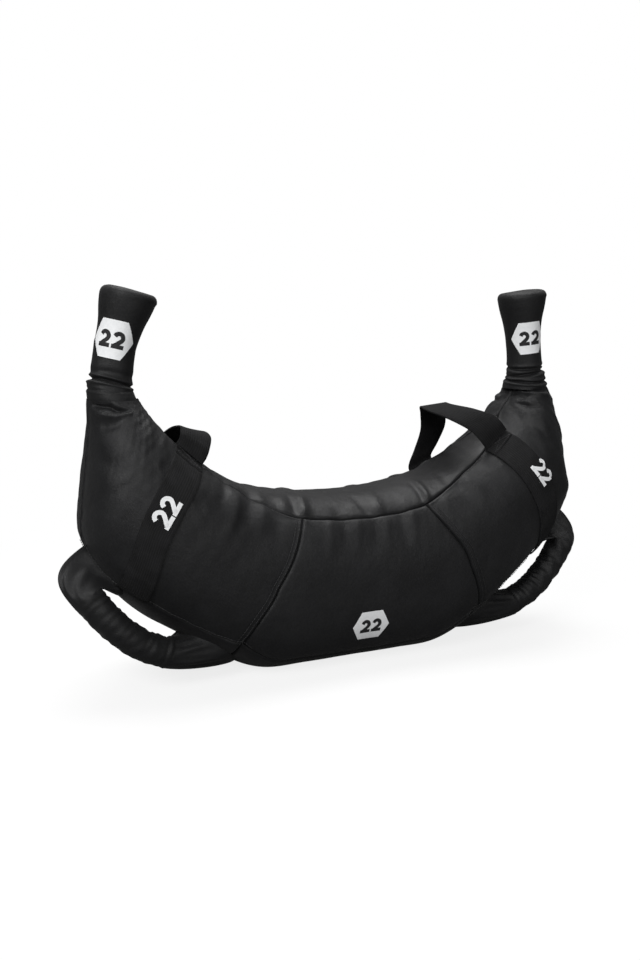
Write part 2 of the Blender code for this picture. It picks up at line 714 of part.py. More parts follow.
def build_handle(name, side, materials):
    """A side handle: a padded core with ball ends, and its cover."""
    middle = (handle_ball(side, "upper") + handle_ball(side, "lower")) / 2
    core_radius = HANDLE_RADIUS - HANDLE_COVER_THICKNESS - HANDLE_COVER_GAP
    path = handle_path(name, side, HANDLE_RINGS)
    blend = math.sqrt(HANDLE_BALL_RADIUS ** 2 - core_radius ** 2)
    heights = [-HANDLE_BALL_RADIUS * math.cos(angle) for angle in HANDLE_TIP_ANGLES] + [blend]
    sizes = [math.sqrt(HANDLE_BALL_RADIUS ** 2 - height ** 2) for height in heights]
    leaving_upper = (path[1] - path[0]).normalized()
    leaving_lower = (path[-2] - path[-1]).normalized()
    upper_tip = [path[0] + leaving_upper * height for height in heights]
    lower_tip = [path[-1] + leaving_lower * height for height in heights]
    points = upper_tip + path[1:-1] + lower_tip[::-1]
    radii = sizes + [core_radius] * (len(path) - 2) + sizes[::-1]
    curve = tube_curve(f"{name}_handle_core", points, radii, closed_ends=True)
    curve_to_mesh(curve, materials["core"], middle)
    start = path[0] + leaving_upper * HANDLE_COVER_START
    end = path[-1] + leaving_lower * HANDLE_COVER_START
    points = [start] + path[1:-1] + [end]
    curve = tube_curve(f"{name}_handle_cover", points, [HANDLE_RADIUS] * len(points), closed_ends=False)
    cover = curve_to_mesh(curve, materials["grip"], middle)
    shell = cover.modifiers.new("thickness", "SOLIDIFY")
    shell.thickness = HANDLE_COVER_THICKNESS
    shell.offset = -1


def build_flare(name, side, root, materials):
    """The padded flare that a side handle's root grows out of, over the side gusset."""
    path = handle_path(name, side, HANDLE_RINGS)
    ball, after = (path[0], path[1]) if root == "upper" else (path[-1], path[-2])
    leaving = (after - ball).normalized()
    station = FLARE_STATION_shares[root]
    half_station = FLARE_HALF_LENGTHS[root] / np.linalg.norm(slopes(station, HANDLE_ANGLE)[0])
    half_angle = angle_reach(station, FLARE_HALF_DEPTHS[root])
    rim_centre = ball - leaving * FLARE_RIM_DROP
    turns = [2 * math.pi * step / FLARE_STEPS for step in range(FLARE_STEPS)]

    def base_point(turn, size):
        place = station + half_station * size * math.cos(turn)
        return Vector(skin_point(side * place, math.pi - half_angle * size * math.sin(turn), -LAYER_GAP))

    upward = leaving.cross(Vector((0, 1, 0))).normalized()
    if upward.dot(path[0] - path[-1]) < 0:
        upward.negate()
    forward = leaving.cross(upward)
    if forward.y > 0:
        forward.negate()
    spokes = [upward * math.cos(turn) + forward * math.sin(turn) for turn in turns]
    rim = [rim_centre + spoke * FLARE_RIM_RADIUS for spoke in spokes]
    rings = [[base_point(turn, size).lerp(edge, lift) for turn, edge in zip(turns, rim)]
             for size, lift in FLARE_RING_shares]
    rings.append(rim)
    flare = add_loft(f"{name}_{root}_handle_flare", rings, materials["grip"])
    cut_cup(flare, f"{name}_{root}_handle_cup", ball, HANDLE_BALL_RADIUS + HANDLE_CUP_GAP)


def angle_reach(station, depth):
    """The angle from the outer crest at which the section reaches a depth."""
    low, high = 0.0, math.pi / 2
    for _ in range(SEARCH_STEPS):
        middle = (low + high) / 2
        if abs(raw_point(station, math.pi - middle)[1]) < depth:
            low = middle
        else:
            high = middle
    return low


def build():
    """Builds every piece of the bag."""
    clear_scene()
    materials = {slot: make_material(slot, *values) for slot, values in MATERIAL_shares.items()}
    build_filling(materials)
    build_panels(materials)
    build_gussets(materials)
    build_bands(materials)
    for name, side in SIDES.items():
        build_strap(name, materials)
        build_grip(name, side, materials)
        build_handle(name, side, materials)
        for root in HANDLE_STATION_shares:
            build_flare(name, side, root, materials)


build()
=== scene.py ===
"""Looks of the bulgarian bag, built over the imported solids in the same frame.

Metres, +Z up, -Y towards the printed front. A place on the bag is given by a station along the
crescent, from the belly (0) to the neck (11) and negative on the left, and by an angle round the
section, from the inner crest (0) over the front to the outer crest (pi), negative over the back.
"""

import bmesh
import bpy
import numpy as np
from mathutils import Matrix, Vector
from mathutils.bvhtree import BVHTree
from numpy import array, cos, exp, interp, linspace, pi, radians, sin


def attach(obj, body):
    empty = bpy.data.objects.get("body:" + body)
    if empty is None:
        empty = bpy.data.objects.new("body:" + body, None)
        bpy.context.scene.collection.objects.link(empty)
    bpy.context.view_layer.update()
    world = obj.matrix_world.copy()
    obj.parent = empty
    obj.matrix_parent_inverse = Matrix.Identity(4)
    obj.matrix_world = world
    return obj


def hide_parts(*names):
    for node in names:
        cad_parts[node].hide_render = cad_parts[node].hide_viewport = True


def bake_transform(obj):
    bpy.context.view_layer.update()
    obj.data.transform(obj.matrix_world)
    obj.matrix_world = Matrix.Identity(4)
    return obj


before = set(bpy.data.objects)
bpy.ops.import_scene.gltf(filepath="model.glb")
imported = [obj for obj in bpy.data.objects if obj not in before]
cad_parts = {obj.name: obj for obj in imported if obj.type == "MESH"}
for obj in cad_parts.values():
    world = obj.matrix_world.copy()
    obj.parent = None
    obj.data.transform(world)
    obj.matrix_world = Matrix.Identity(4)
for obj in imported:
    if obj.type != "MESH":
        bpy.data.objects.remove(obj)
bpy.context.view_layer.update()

TURN = 2 * pi
BACK, UP = array((0.0, 1.0, 0.0)), array((0.0, 0.0, 1.0))
SIDES = {"left": -1, "right": 1}
FACES = {"front": 1, "back": -1}

# Shape of the crescent, as in the solids. Columns: x and z of the inner crest, x and z of the
# outer crest, half the depth, and the exponent that rounds the section
HALF_SPAN = 0.309
HORN_HEIGHT = 0.327
HALF_DEPTH = 0.090
SECTIONS = array((
    (0.000, 0.602, 0.000, -0.008, 0.978, 2.5),
    (0.162, 0.609, 0.194, -0.008, 0.989, 2.5),
    (0.291, 0.630, 0.372, -0.001, 1.000, 2.5),
    (0.395, 0.657, 0.528, 0.067, 1.000, 2.5),
    (0.485, 0.697, 0.680, 0.174, 0.978, 2.5),
    (0.576, 0.749, 0.822, 0.284, 0.944, 2.5),
    (0.647, 0.804, 0.942, 0.391, 0.889, 2.4),
    (0.699, 0.850, 1.000, 0.511, 0.822, 2.4),
    (0.738, 0.893, 0.994, 0.642, 0.733, 2.3),
    (0.766, 0.930, 0.978, 0.768, 0.611, 2.2),
    (0.784, 0.960, 0.966, 0.884, 0.450, 2.1),
    (0.789, 0.985, 0.960, 0.985, 0.320, 2.0),
)) * (HALF_SPAN, HORN_HEIGHT, HALF_SPAN, HORN_HEIGHT, HALF_DEPTH, 1)
NECK_X, NECK_Z = 0.873 * HALF_SPAN, 0.997 * HORN_HEIGHT
NECK = {name: array((side * NECK_X, 0, NECK_Z)) for name, side in SIDES.items()}
RIM_HEIGHT = NECK_Z - 0.0105

# Seams: angle by station, and for the belly panels' sides and the bands station by angle
INNER_SEAM = ((0.0, 0.73), (1.8, 0.70), (2.5, 0.60), (3.2, 0.51), (4.0, 0.44), (5.0, 0.36),
              (6.8, 0.12), (7.4, 0.0))
OUTER_SEAM = ((0.0, 2.50), (2.0, 2.42), (2.9, 2.26), (3.4, 2.36), (4.0, 2.46), (5.0, 2.58),
              (5.9, 2.83), (6.8, 3.06), (7.2, pi))
SIDE_SEAM = {
    "left": ((0.40, 1.44), (0.68, 1.52), (0.90, 1.65), (1.21, 1.87), (1.43, 2.10), (1.62, 2.42),
             (1.86, 2.68), (2.12, 2.82), (2.26, 2.88)),
    "right": ((0.40, 1.74), (0.65, 1.84), (0.89, 1.99), (1.09, 2.21), (1.28, 2.44), (1.42, 2.64),
              (1.64, 2.86), (1.92, 3.00), (2.26, 3.08))}
FRONT_BAND = ((0.3, 5.86), (1.2, 6.02), (1.6, 5.98), (2.0, 5.70), (2.6, 5.38))
BAND_CENTRE = {
    "front": {"left": FRONT_BAND, "right": FRONT_BAND},
    "back": {
        "left": ((0.3, 5.05), (1.2, 5.05), (1.6, 5.08), (2.0, 5.14), (2.6, 5.30)),
        "right": ((0.3, 4.20), (1.2, 4.24), (1.6, 4.44), (2.0, 4.72), (2.6, 5.10))}}
BASE_SEAM = 2.9
INNER_GUSSET_END = 7.4
SIDE_GUSSET_END = 7.2
WEBBING_WIDTH = 0.038
BAND_LIFT, BAND_END_DROP = 0.0021, 0.0014
FLOOR_GAP = 0.0004


# Numbers and vectors
def unit(vector):
    vector = np.asarray(vector, float)
    return vector / np.linalg.norm(vector, axis=-1, keepdims=True)


def clamp(value):
    return np.clip(value, 0, 1)


def bell(value, width):
    """A smooth hump of height 1 round zero."""
    return exp(-(value / width) ** 2)


def sign(station):
    return np.where(np.asarray(station) < 0, -1.0, 1.0)


def power(value, exponent):
    return np.sign(value) * np.abs(value) ** exponent


def grids(station, angle):
    """Stations and angles as float arrays of one shape."""
    return np.broadcast_arrays(np.asarray(station, float), np.asarray(angle, float))


def on_curve(before, here, there, after, part):
    """Between the middle two of four points, on a smooth curve through them."""
    square = 2 * before - 5 * here + 4 * there - after
    cube = 3 * here - 3 * there + after - before
    return here + part * (there - before + part * (square + part * cube)) / 2


def path_steps(line):
    return np.linalg.norm(np.diff(line, axis=0), axis=1)


def evenly(line, count):
    """Evenly spaced points along a line."""
    lengths = np.concatenate([[0], np.cumsum(path_steps(line))])
    places = linspace(0, lengths[-1], count)
    return np.stack([interp(places, lengths, column) for column in line.T], 1)


def smooth_path(points, count):
    """Evenly spaced points on a smooth curve through the given points."""
    points = array(points, float)
    padded = np.vstack([2 * points[0] - points[1], points, 2 * points[-1] - points[-2]])
    fine = [on_curve(*padded[index:index + 4], part) for index in range(len(points) - 1)
            for part in linspace(0, 1, 24, endpoint=False)]
    return evenly(array(fine + [points[-1]]), count)


def look_up(table, at, blur=0.0, samples=7):
    """Values of a (place, value) table, rounded off over a width so that seams run smoothly."""
    places, values = np.transpose(table)
    shifts = linspace(-blur, blur, samples) if blur else (0.0,)
    return np.mean([interp(np.asarray(at) + shift, places, values) for shift in shifts], axis=0)


def waves(at, seed, low=0.6, high=3.0):
    """A smooth irregular wave between about -1 and 1."""
    random, count = np.random.default_rng(seed), 7
    total = np.zeros_like(at)
    for _ in range(count):
        rate = random.uniform(low, high)
        total += random.uniform(0.4, 1.0) * sin(rate * at + random.uniform(0, TURN))
    return total / np.sqrt(count)


# Surface of the crescent
def sections_at(at):
    """Rows of the section table at fractional indices."""
    last = len(SECTIONS) - 1
    padded = np.vstack([SECTIONS[1] * (-1, 1, -1, 1, 1, 1), SECTIONS,
                        2 * SECTIONS[last] - SECTIONS[last - 1]])
    index = np.clip(np.floor(at).astype(int), 0, last - 1)
    return on_curve(*(padded[index + shift] for shift in range(4)), (at - index)[..., None])


def raw_points(station, angle):
    """Points of the crescent's surface, without folds, and before the belly is flattened."""
    station, angle = grids(station, angle)
    inner_x, inner_z, outer_x, outer_z, depth, roundness = np.moveaxis(
        sections_at(np.abs(station)), -1, 0)
    along = power(cos(angle), 2 / roundness)
    across = power(sin(angle), 2 / roundness)
    x = (inner_x + outer_x) / 2 + (inner_x - outer_x) / 2 * along
    z = (inner_z + outer_z) / 2 + (inner_z - outer_z) / 2 * along
    return np.stack([sign(station) * x, -depth * across, z], -1)


def slopes(station, angle):
    """The surface's change with the station and with the angle."""
    station, angle = grids(station, angle)
    step = 2e-3
    side = sign(station)
    place = np.maximum(np.abs(station), step)
    mirror = np.stack([side, np.ones_like(side), np.ones_like(side)], -1) / (2 * step)
    return ((raw_points(place + step, angle) - raw_points(place - step, angle)) * mirror,
            (raw_points(place, angle + step) - raw_points(place, angle - step)) * mirror)


def rates(station, angle):
    """Metres on the surface for one unit of station and for one of angle."""
    return [np.linalg.norm(slope, axis=-1) for slope in slopes(station, angle)]


def normals(station, angle):
    """Outward unit normals."""
    along, around = slopes(station, angle)
    return unit(np.cross(around, along) * sign(station)[..., None])


def inner_seam(station):
    return look_up(INNER_SEAM, np.abs(station), blur=0.35)


def outer_seam(station):
    place = np.abs(station)
    return np.where(place < BASE_SEAM, look_up(OUTER_SEAM[:3], place),
                    look_up(OUTER_SEAM[2:], place))


def side_seam(name):
    """The station of a belly panel's seam on one side, by the angle."""
    return lambda angle: look_up(SIDE_SEAM[name], angle, blur=0.10)


# Folds of the cover. Columns: station and angle of the start and of the end, width and height in
# millimetres, fade (0 towards both ends, 1 only towards its end) and skew of its sides
FOLDS = array((
    # Puckers over the inner gusset: ridges with a groove beside them
    (-1.50, 0.70, -1.26, 0.02, 5.5, 4.6, 0.5, 0.25),
    (-1.74, 0.68, -1.62, 0.10, 4.6, -4.2, 0.6, 0),
    (-2.10, 0.64, -1.95, 0.20, 6.0, 2.0, 0.7, 0),
    (0.48, 0.70, 0.58, 0.12, 5.8, 3.6, 0.6, 0),
    (0.20, 0.70, 0.08, 0.22, 5.2, -3.0, 0.7, 0),
    (-0.55, 0.70, -0.50, 0.30, 6.0, -1.2, 1, 0),
    (1.98, 0.68, 2.14, 0.12, 4.6, 3.8, 0.6, -0.2),
    (1.83, 0.68, 1.96, 0.10, 3.6, -4.0, 0.6, 0),
    (1.20, 0.70, 1.28, 0.25, 6.0, 1.6, 0.8, 0),
    (-2.90, 0.52, -2.60, 0.05, 7.0, 2.2, 0.5, 0),
    (-3.30, 0.48, -3.05, 0.05, 6.0, -2.0, 0.5, 0),
    (3.00, 0.52, 3.10, 0.10, 6.0, -2.0, 0.6, 0),
    # Drapes under the inner seam
    (-3.72, 0.40, -4.14, 1.35, 8.0, 3.6, 0.5, 0.3),
    (-3.28, 0.50, -3.64, 1.15, 7.0, -2.6, 0.7, 0),
    (-4.25, 0.40, -4.46, 1.10, 6.5, -2.4, 0.6, 0),
    (-2.78, 0.56, -3.15, 1.15, 7.5, 2.2, 0.8, 0),
    (-2.30, 0.62, -2.60, 1.30, 8.0, -2.0, 0.8, 0),
    (-0.82, 0.74, -0.98, 1.25, 7.0, 2.2, 0.9, 0),
    (-0.45, 0.74, -0.62, 1.20, 6.0, -1.8, 0.9, 0),
    (-0.12, 0.74, -0.34, 1.30, 6.5, 2.0, 0.9, 0),
    (0.28, 0.74, 0.16, 1.25, 6.0, -1.8, 0.9, 0),
    (0.58, 0.74, 0.42, 1.30, 7.0, 2.2, 0.9, 0),
    (0.95, 0.74, 0.84, 1.20, 6.0, -1.8, 0.9, 0),
    (1.28, 0.74, 1.10, 1.30, 7.0, 2.2, 0.9, 0),
    (2.45, 0.62, 2.60, 1.15, 8.0, 2.2, 0.9, 0),
    (3.25, 0.54, 3.36, 1.10, 8.0, -2.4, 0.8, 0),
    (3.75, 0.50, 3.95, 1.20, 9.0, 2.4, 0.8, 0),
    (4.60, 0.46, 4.85, 1.10, 8.0, -1.8, 0.8, 0),
    # Folds of the left horn under its neck
    (-10.66, 2.75, -10.52, 1.80, 2.8, -5.6, 0.2, 0),
    (-10.60, 2.05, -9.95, 1.20, 2.6, -6.0, 0.1, 0),
    (-10.40, 2.55, -10.10, 1.80, 3.2, 3.4, 0.1, 0),
    (-10.18, 2.05, -9.85, 1.15, 3.2, 3.6, 0.1, 0),
    (-9.95, 2.40, -9.70, 1.60, 5.0, -2.2, 0.2, 0),
    (-9.85, 2.50, -8.40, 1.25, 9.0, 1.2, 0, 0),
    (-9.30, 2.60, -8.10, 1.60, 8.0, -1.1, 0, 0),
    (-9.10, 2.80, -7.70, 1.60, 9.0, 1.0, 0, 0),
    (-9.40, 0.60, -8.70, 1.50, 8.0, -0.9, 0, 0),
    (-8.60, 0.40, -8.00, 1.40, 9.0, 1.0, 0, 0),
    (-7.40, 0.30, -7.20, 1.20, 8.0, 2.0, 0.3, 0),
    # Folds of the right horn under its neck
    (10.20, 0.30, 10.66, 2.20, 2.6, -5.4, 0.1, 0),
    (10.00, 0.35, 10.40, 2.10, 3.2, 3.2, 0.1, 0),
    (9.30, 0.45, 10.05, 0.95, 2.8, -2.6, 0.2, 0),
    (8.75, 0.40, 9.45, 1.45, 2.8, -2.6, 0.2, 0),
    (9.05, 0.45, 9.75, 1.35, 3.6, 1.8, 0.2, 0),
    (8.20, 0.50, 8.85, 1.60, 7.0, 1.0, 0, 0),
    (7.60, 0.50, 8.10, 1.80, 8.0, -1.8, 0, 0),
    (9.60, 1.80, 8.40, 2.70, 6.0, 2.0, 0, 0),
    (6.80, 2.00, 7.60, 2.60, 9.0, 1.8, 0, 0),
    # Slack of the lower front
    (-6.20, 2.40, -5.30, 2.10, 8.0, 1.6, 0, 0),
    (-4.30, 1.90, -3.40, 2.15, 10.0, -1.6, 0, 0),
    (3.30, 1.70, 4.30, 2.10, 10.0, 1.8, 0, 0),
    (4.90, 1.50, 4.30, 2.20, 9.0, -1.6, 0, 0),
)) * (1, 1, 1, 1, 0.001, 0.001, 1, 1)
# The back has the same folds, shifted, and shallower round the necks
BACK_SHIFT, BACK_SHARE = 0.13, 0.9
NECK_FOLDS, BACK_NECK_SHARE = 9.9, 0.45
# Radii that turn an angle near the inner and the outer seam into metres
SEAM_RADII = 0.062, 0.060
# Heights of large forms: crest and outer edge of the right horn, outer edge of the left one, both
# shoulders of the crest, and the side gussets
SAG, RIGHT_EDGE, LEFT_EDGE, SHOULDERS, GUSSET_BULGE = 0.0082, 0.0060, 0.0018, 0.0022, 0.0070


def fold_height(start, end, width, height, fade, skew, station, angle):
    """The height that one fold adds at places on the surface."""
    scale = array(rates(*(start + end) / 2))
    span = (end - start) * scale
    offset = np.stack([station - start[0], angle - start[1]], -1) * scale
    part = clamp(offset @ span / (span @ span))
    away = np.linalg.norm(offset - part[..., None] * span, axis=-1)
    side = np.sign(offset[..., 0] * span[1] - offset[..., 1] * span[0])
    taper = sin(pi * part) ** 0.7 * (1 - fade) + (1 - part) ** 1.3 * fade
    return height * taper * bell(away * (1 + skew * side), width)


def relief(station, angle):
    """The cover's height over the plain surface."""
    station, angle = grids(station, angle)
    wrapped = (angle + pi) % TURN - pi
    place, size, edge = np.abs(station), np.abs(wrapped), outer_seam(station)
    total = np.zeros(station.shape)
    for row in FOLDS:
        back_share = BACK_NECK_SHARE if abs(row[0]) > NECK_FOLDS else BACK_SHARE
        for sense, shift, share in ((1, 0.0, 1.0), (-1, BACK_SHIFT, back_share)):
            start, end = (row[first:first + 2] * (1, sense) + (shift, 0) for first in (0, 2))
            total += fold_height(start, end, row[4], row[5] * share, *row[6:], station, wrapped)
    # The seams' thread holds the folds down. Gathers along the seams, and a slack, uneven surface
    inner = np.abs(size - inner_seam(station)) * SEAM_RADII[0]
    outer = np.abs(size - edge) * SEAM_RADII[1]
    lean = np.sign(wrapped) * 3.0
    total *= 1 - 0.7 * bell(inner, 0.005)
    inner_gathers = 0.0006 * waves(station * 5.2 + lean, 3, 0.8, 2.4) * exp(-inner / 0.010)
    total += inner_gathers * clamp((7.0 - place) / 1.5)
    total += 0.0007 * waves(station * 6.0 + lean, 5, 0.8, 2.4) * exp(-outer / 0.010)
    broad = waves(station * 1.9 + 2.2 * size, 11) * waves(wrapped * 3.1 + station * 0.4, 12)
    fine = waves(station * 4.4 - 3.0 * wrapped, 13) * waves(wrapped * 6.0 + station, 14)
    total += 0.0008 * broad + 0.0004 * fine
    # The right horn's crest sags a little, and the flanks' gussets bulge over their padding
    crest, far = clamp(cos(wrapped)), clamp(-cos(wrapped))
    sag = interp(station, (3.2, 5.4, 7.0, 10.3, 10.75), (0, 0.8, 1, 1.1, 0))
    total -= SAG * sag * crest ** 1.5 + SHOULDERS * bell(place - 3.2, 1.3) * crest
    total += RIGHT_EDGE * interp(station, (5.8, 7.2, 10.2, 10.8), (0, 1, 1, 0)) * far
    total -= LEFT_EDGE * interp(station, (-10.6, -10.0, -6.4, -5.8), (0, 1, 1, 0)) * far
    bulge = clamp((size - edge) / (pi - edge + 0.02))
    total += GUSSET_BULGE * sin(bulge * pi / 2) * bell(place - 4.9, 0.9)
    # Plain under the necks, and nearly plain where the belly rests
    total *= 1 - clamp((place - 10.72) / 0.2)
    return total * (1 - 0.8 * clamp((size - 2.35) / 0.25) * clamp((3.0 - place) / 0.5))


def cover_points(station, angle, lift=0.0):
    """Points of the dressed cover, with the belly flat where it rests."""
    station, angle = grids(station, angle)
    height = np.asarray(relief(station, angle) + lift)
    points = raw_points(station, angle) + normals(station, angle) * height[..., None]
    points[..., 2] = np.maximum(points[..., 2], FLOOR_GAP - np.minimum(lift, 0.0))
    return points


# Materials
def feed(node, inputs):
    """Sets inputs to values, or links them to the sockets given."""
    for key, value in dict(inputs).items():
        if isinstance(value, bpy.types.NodeSocket):
            node.id_data.links.new(value, node.inputs[key])
        else:
            node.inputs[key].default_value = value


def add_node(tree, kind, inputs=(), **values):
    node = tree.nodes.new(kind)
    for key, value in values.items():
        setattr(node, key, value)
    feed(node, inputs)
    return node


def new_material(name):
    """A material, its node tree and its shader."""
    material = bpy.data.materials.new(name)
    material.use_nodes = True
    return material, material.node_tree, material.node_tree.nodes["Principled BSDF"]


def coordinates(tree, kind):
    return add_node(tree, "ShaderNodeTexCoord").outputs[kind]


def math_node(operation, *values):
    """A sum or product, with a socket as its first value."""
    node = add_node(values[0].id_data, "ShaderNodeMath", enumerate(values), operation=operation)
    return node.outputs["Value"]


def mix(share, low, high):
    """A colour between two."""
    inputs = {"Factor": share, "A": low, "B": high}
    return add_node(share.id_data, "ShaderNodeMix", inputs, data_type="RGBA").outputs["Result"]


def value_range(source, low, high, from_low=0.3, from_high=0.7):
    return add_node(source.id_data, "ShaderNodeMapRange", {
        "Value": source, "From Min": from_low, "From Max": from_high, "To Min": low,
        "To Max": high}).outputs["Result"]


def ramp(source, low, high, from_low=0.3, from_high=0.7):
    """A colour between two, by a value between two limits."""
    return mix(value_range(source, 0.0, 1.0, from_low, from_high), (*low, 1), (*high, 1))


def noise(place, scale, detail=3.0, rough=0.55):
    return add_node(place.id_data, "ShaderNodeTexNoise", {
        "Vector": place, "Scale": scale, "Detail": detail, "Roughness": rough}).outputs["Fac"]


def stripes(place, direction, scale, distortion):
    return add_node(place.id_data, "ShaderNodeTexWave", {
        "Vector": place, "Scale": scale, "Distortion": distortion, "Detail": 1.0},
        bands_direction=direction).outputs["Fac"]


def bump(height, strength, distance, before=None):
    inputs = {"Height": height, "Strength": strength, "Distance": distance}
    if before is not None:
        inputs["Normal"] = before
    return add_node(height.id_data, "ShaderNodeBump", inputs).outputs["Normal"]


def coated_fabric(name, low, high, roughness, wrinkle=1.0):
    """A coated cloth: faint cloudy tone, fine grain, small creases and a soft sheen."""
    material, tree, shader = new_material(name)
    place = coordinates(tree, "Object")
    mottle = value_range(noise(place, 620.0, 2.0, 0.8), -0.22, 0.22)
    cloud = math_node("ADD", noise(place, 16.0, 4.0), mottle)
    creases = bump(noise(place, 38.0, 3.0, 0.6), 0.35 * wrinkle, 0.0028)
    crumple = bump(noise(place, 150.0, 4.0, 0.65), 0.30, 0.0009, creases)
    feed(shader, {
        "Base Color": ramp(cloud, low, high),
        "Roughness": value_range(noise(place, 45.0), roughness - 0.06, roughness + 0.08),
        "Normal": bump(noise(place, 900.0, 2.0, 0.7), 0.55, 0.0005, crumple),
        "Specular IOR Level": 0.33, "Sheen Weight": 0.03, "Sheen Roughness": 0.45})
    return material


def woven_webbing(name, low, high):
    """Woven webbing: ribs across its length, rows along it and a worn, dusty tone."""
    material, tree, shader = new_material(name)
    place = coordinates(tree, "UV")
    weave = math_node("MULTIPLY", stripes(place, "X", 300.0, 0.4), stripes(place, "Y", 210.0, 0.3))
    dust = noise(place, 60.0, 4.0)
    tone = math_node("MULTIPLY_ADD", weave, 0.5, dust)
    # A row of stitches runs just inside both edges
    away = add_node(tree, "ShaderNodeSeparateXYZ", {"Vector": place}).outputs["Y"]
    for offset in (WEBBING_WIDTH / 2, 0.0160):
        away = math_node("ABSOLUTE", math_node("SUBTRACT", away, offset))
    dashes = value_range(stripes(place, "X", 90.0, 0.0), 0.0, 1.0, 0.3, 0.5)
    stitch = math_node("MULTIPLY", value_range(away, 1.0, 0.0, 0.0003, 0.0007), dashes)
    cloth = ramp(tone, low, high, 0.35, 1.05)
    feed(shader, {
        "Base Color": mix(stitch, cloth, (0.030, 0.030, 0.031, 1)),
        "Roughness": value_range(dust, 0.78, 0.95),
        "Normal": bump(stitch, 0.8, 0.0006, bump(weave, 0.6, 0.0005)),
        "Specular IOR Level": 0.2})
    return material


def printed(name, low, high, roughness):
    """Screen print: nearly even, slightly mottled by the cloth under it."""
    material, tree, shader = new_material(name)
    place = coordinates(tree, "Object")
    feed(shader, {
        "Base Color": ramp(noise(place, 260.0, 4.0), low, high),
        "Roughness": value_range(noise(place, 90.0), roughness - 0.05, roughness + 0.08),
        "Normal": bump(noise(place, 700.0), 0.2, 0.0003)})
    return material


COVER = coated_fabric("cover_fabric", (0.0036, 0.0037, 0.0042), (0.0092, 0.0093, 0.0101), 0.55)
GUSSET = coated_fabric("gusset_fabric", (0.0044, 0.0044, 0.0049), (0.0074, 0.0074, 0.0080), 0.50)
GRIP = coated_fabric("grip_fabric", (0.0046, 0.0047, 0.0051), (0.0076, 0.0077, 0.0083), 0.58, 1.3)
WEBBING = woven_webbing("webbing_weave", (0.0042, 0.0042, 0.0044), (0.0200, 0.0200, 0.0208))
PRINT = printed("white_print", (0.82, 0.83, 0.84), (0.90, 0.91, 0.92), 0.6)
THREAD = printed("seam_thread", (0.012, 0.012, 0.013), (0.022, 0.022, 0.023), 0.7)
INK = printed("dark_print", (0.008, 0.008, 0.009), (0.014, 0.014, 0.015), 0.75)


# Mesh builders
def add_object(name, data):
    item = bpy.data.objects.new(name, data)
    bpy.context.scene.collection.objects.link(item)
    return item


def new_mesh(name, points, faces, material):
    mesh = bpy.data.meshes.new(name)
    mesh.from_pydata(points, [], faces)
    mesh.shade_smooth()
    mesh.materials.append(material)
    return mesh


def quads(index):
    """The corners of each cell of a grid of point numbers."""
    corners = index[:-1, :-1], index[:-1, 1:], index[1:, 1:], index[1:, :-1]
    return np.stack(corners, -1).reshape(-1, 4)


def grid_mesh(name, points, sizes, material, outward=None):
    """A quad mesh through rows of points, closed round each row unless its outward side is given."""
    rows, columns = points.shape[:2]
    index = np.arange(rows * columns).reshape(rows, columns)
    if outward is None:
        index = np.hstack([index, index[:, :1]])
        outward = points[rows // 2, columns // 2] - points[rows // 2].mean(0)
    faces, flat = quads(index), points.reshape(-1, 3)
    a, b, c, _ = flat[faces[(rows // 2) * (index.shape[1] - 1) + columns // 2]]
    if np.cross(b - a, c - a) @ outward < 0:
        faces = faces[:, ::-1]
    mesh = new_mesh(name, flat.tolist(), faces.tolist(), material)
    uv = np.stack(np.meshgrid(linspace(0, sizes[0], rows), linspace(0, sizes[1], columns),
                              indexing="ij"), -1).reshape(-1, 2)[faces.reshape(-1)]
    layer = mesh.uv_layers.new(name="UVMap")
    layer.data.foreach_set("uv", uv.astype(np.float32).reshape(-1))
    item = add_object(name, mesh)
    return item


def ring(centre, right, up, wide, deep, turns):
    """A closed section round a centre, in the plane of two directions."""
    return (centre + right * (wide * cos(turns))[:, None] + up * (deep * sin(turns))[:, None])


def full_turn(count):
    return linspace(0, TURN, count, endpoint=False)


def graded(count, edge=0.55):
    """Shares from 0 to 1, closer together near both ends."""
    even = linspace(0, 1, count)
    return (1 - edge) * even + edge * (1 - cos(pi * even)) / 2


def border_distance(points, borders):
    """Distances in metres from each point of a grid to the grid's named borders."""
    lines = {"first": points[0], "last": points[-1], "low": points[:, 0], "high": points[:, -1]}
    away = np.full(points.shape[:2], 1.0)
    for border in borders:
        gaps = lines[border][None, None] - points[:, :, None]
        away = np.minimum(away, np.sqrt((gaps ** 2).sum(-1)).min(-1))
    return away


def seam_roll(distance, ridge):
    """How a panel turns under at its sewn border, with an optional raised edge beside the seam."""
    roll = -0.0030 * exp(-(distance / 0.0011) ** 1.2) - 0.0011 * exp(-distance / 0.011)
    return roll + ridge * bell(distance - 0.0030, 0.0016)


def panel(name, place, counts, borders, material=GUSSET, ridge=0.0):
    """A cover panel over a patch of the surface, turned under at its sewn borders."""
    station, angle = place(*np.meshgrid(graded(counts[0]), graded(counts[1]), indexing="ij"))
    rest = raw_points(station, angle)
    points = cover_points(station, angle, seam_roll(border_distance(rest, borders), ridge))
    middle = counts[0] // 2, counts[1] // 2
    sizes = path_steps(rest[:, middle[1]]).sum(), path_steps(rest[middle[0]]).sum()
    return grid_mesh(name, points, sizes, material, normals(station[middle], angle[middle]))


# Cover
def rim_station(angle):
    """The station at which the cover reaches its level rim under the neck."""
    low, high = np.full(np.shape(angle), 8.2), np.full(np.shape(angle), 11.0)
    for _ in range(26):
        middle = (low + high) / 2
        below = raw_points(middle, angle)[..., 2] < RIM_HEIGHT
        low, high = np.where(below, middle, low), np.where(below, high, middle)
    return low


def stretch(angle, exponent):
    """Moves angles towards the section's corners, or back with the inverse exponent."""
    turned = np.arctan2(power(sin(angle), exponent), power(cos(angle), exponent))
    return turned + TURN * np.round((angle - turned) / TURN)


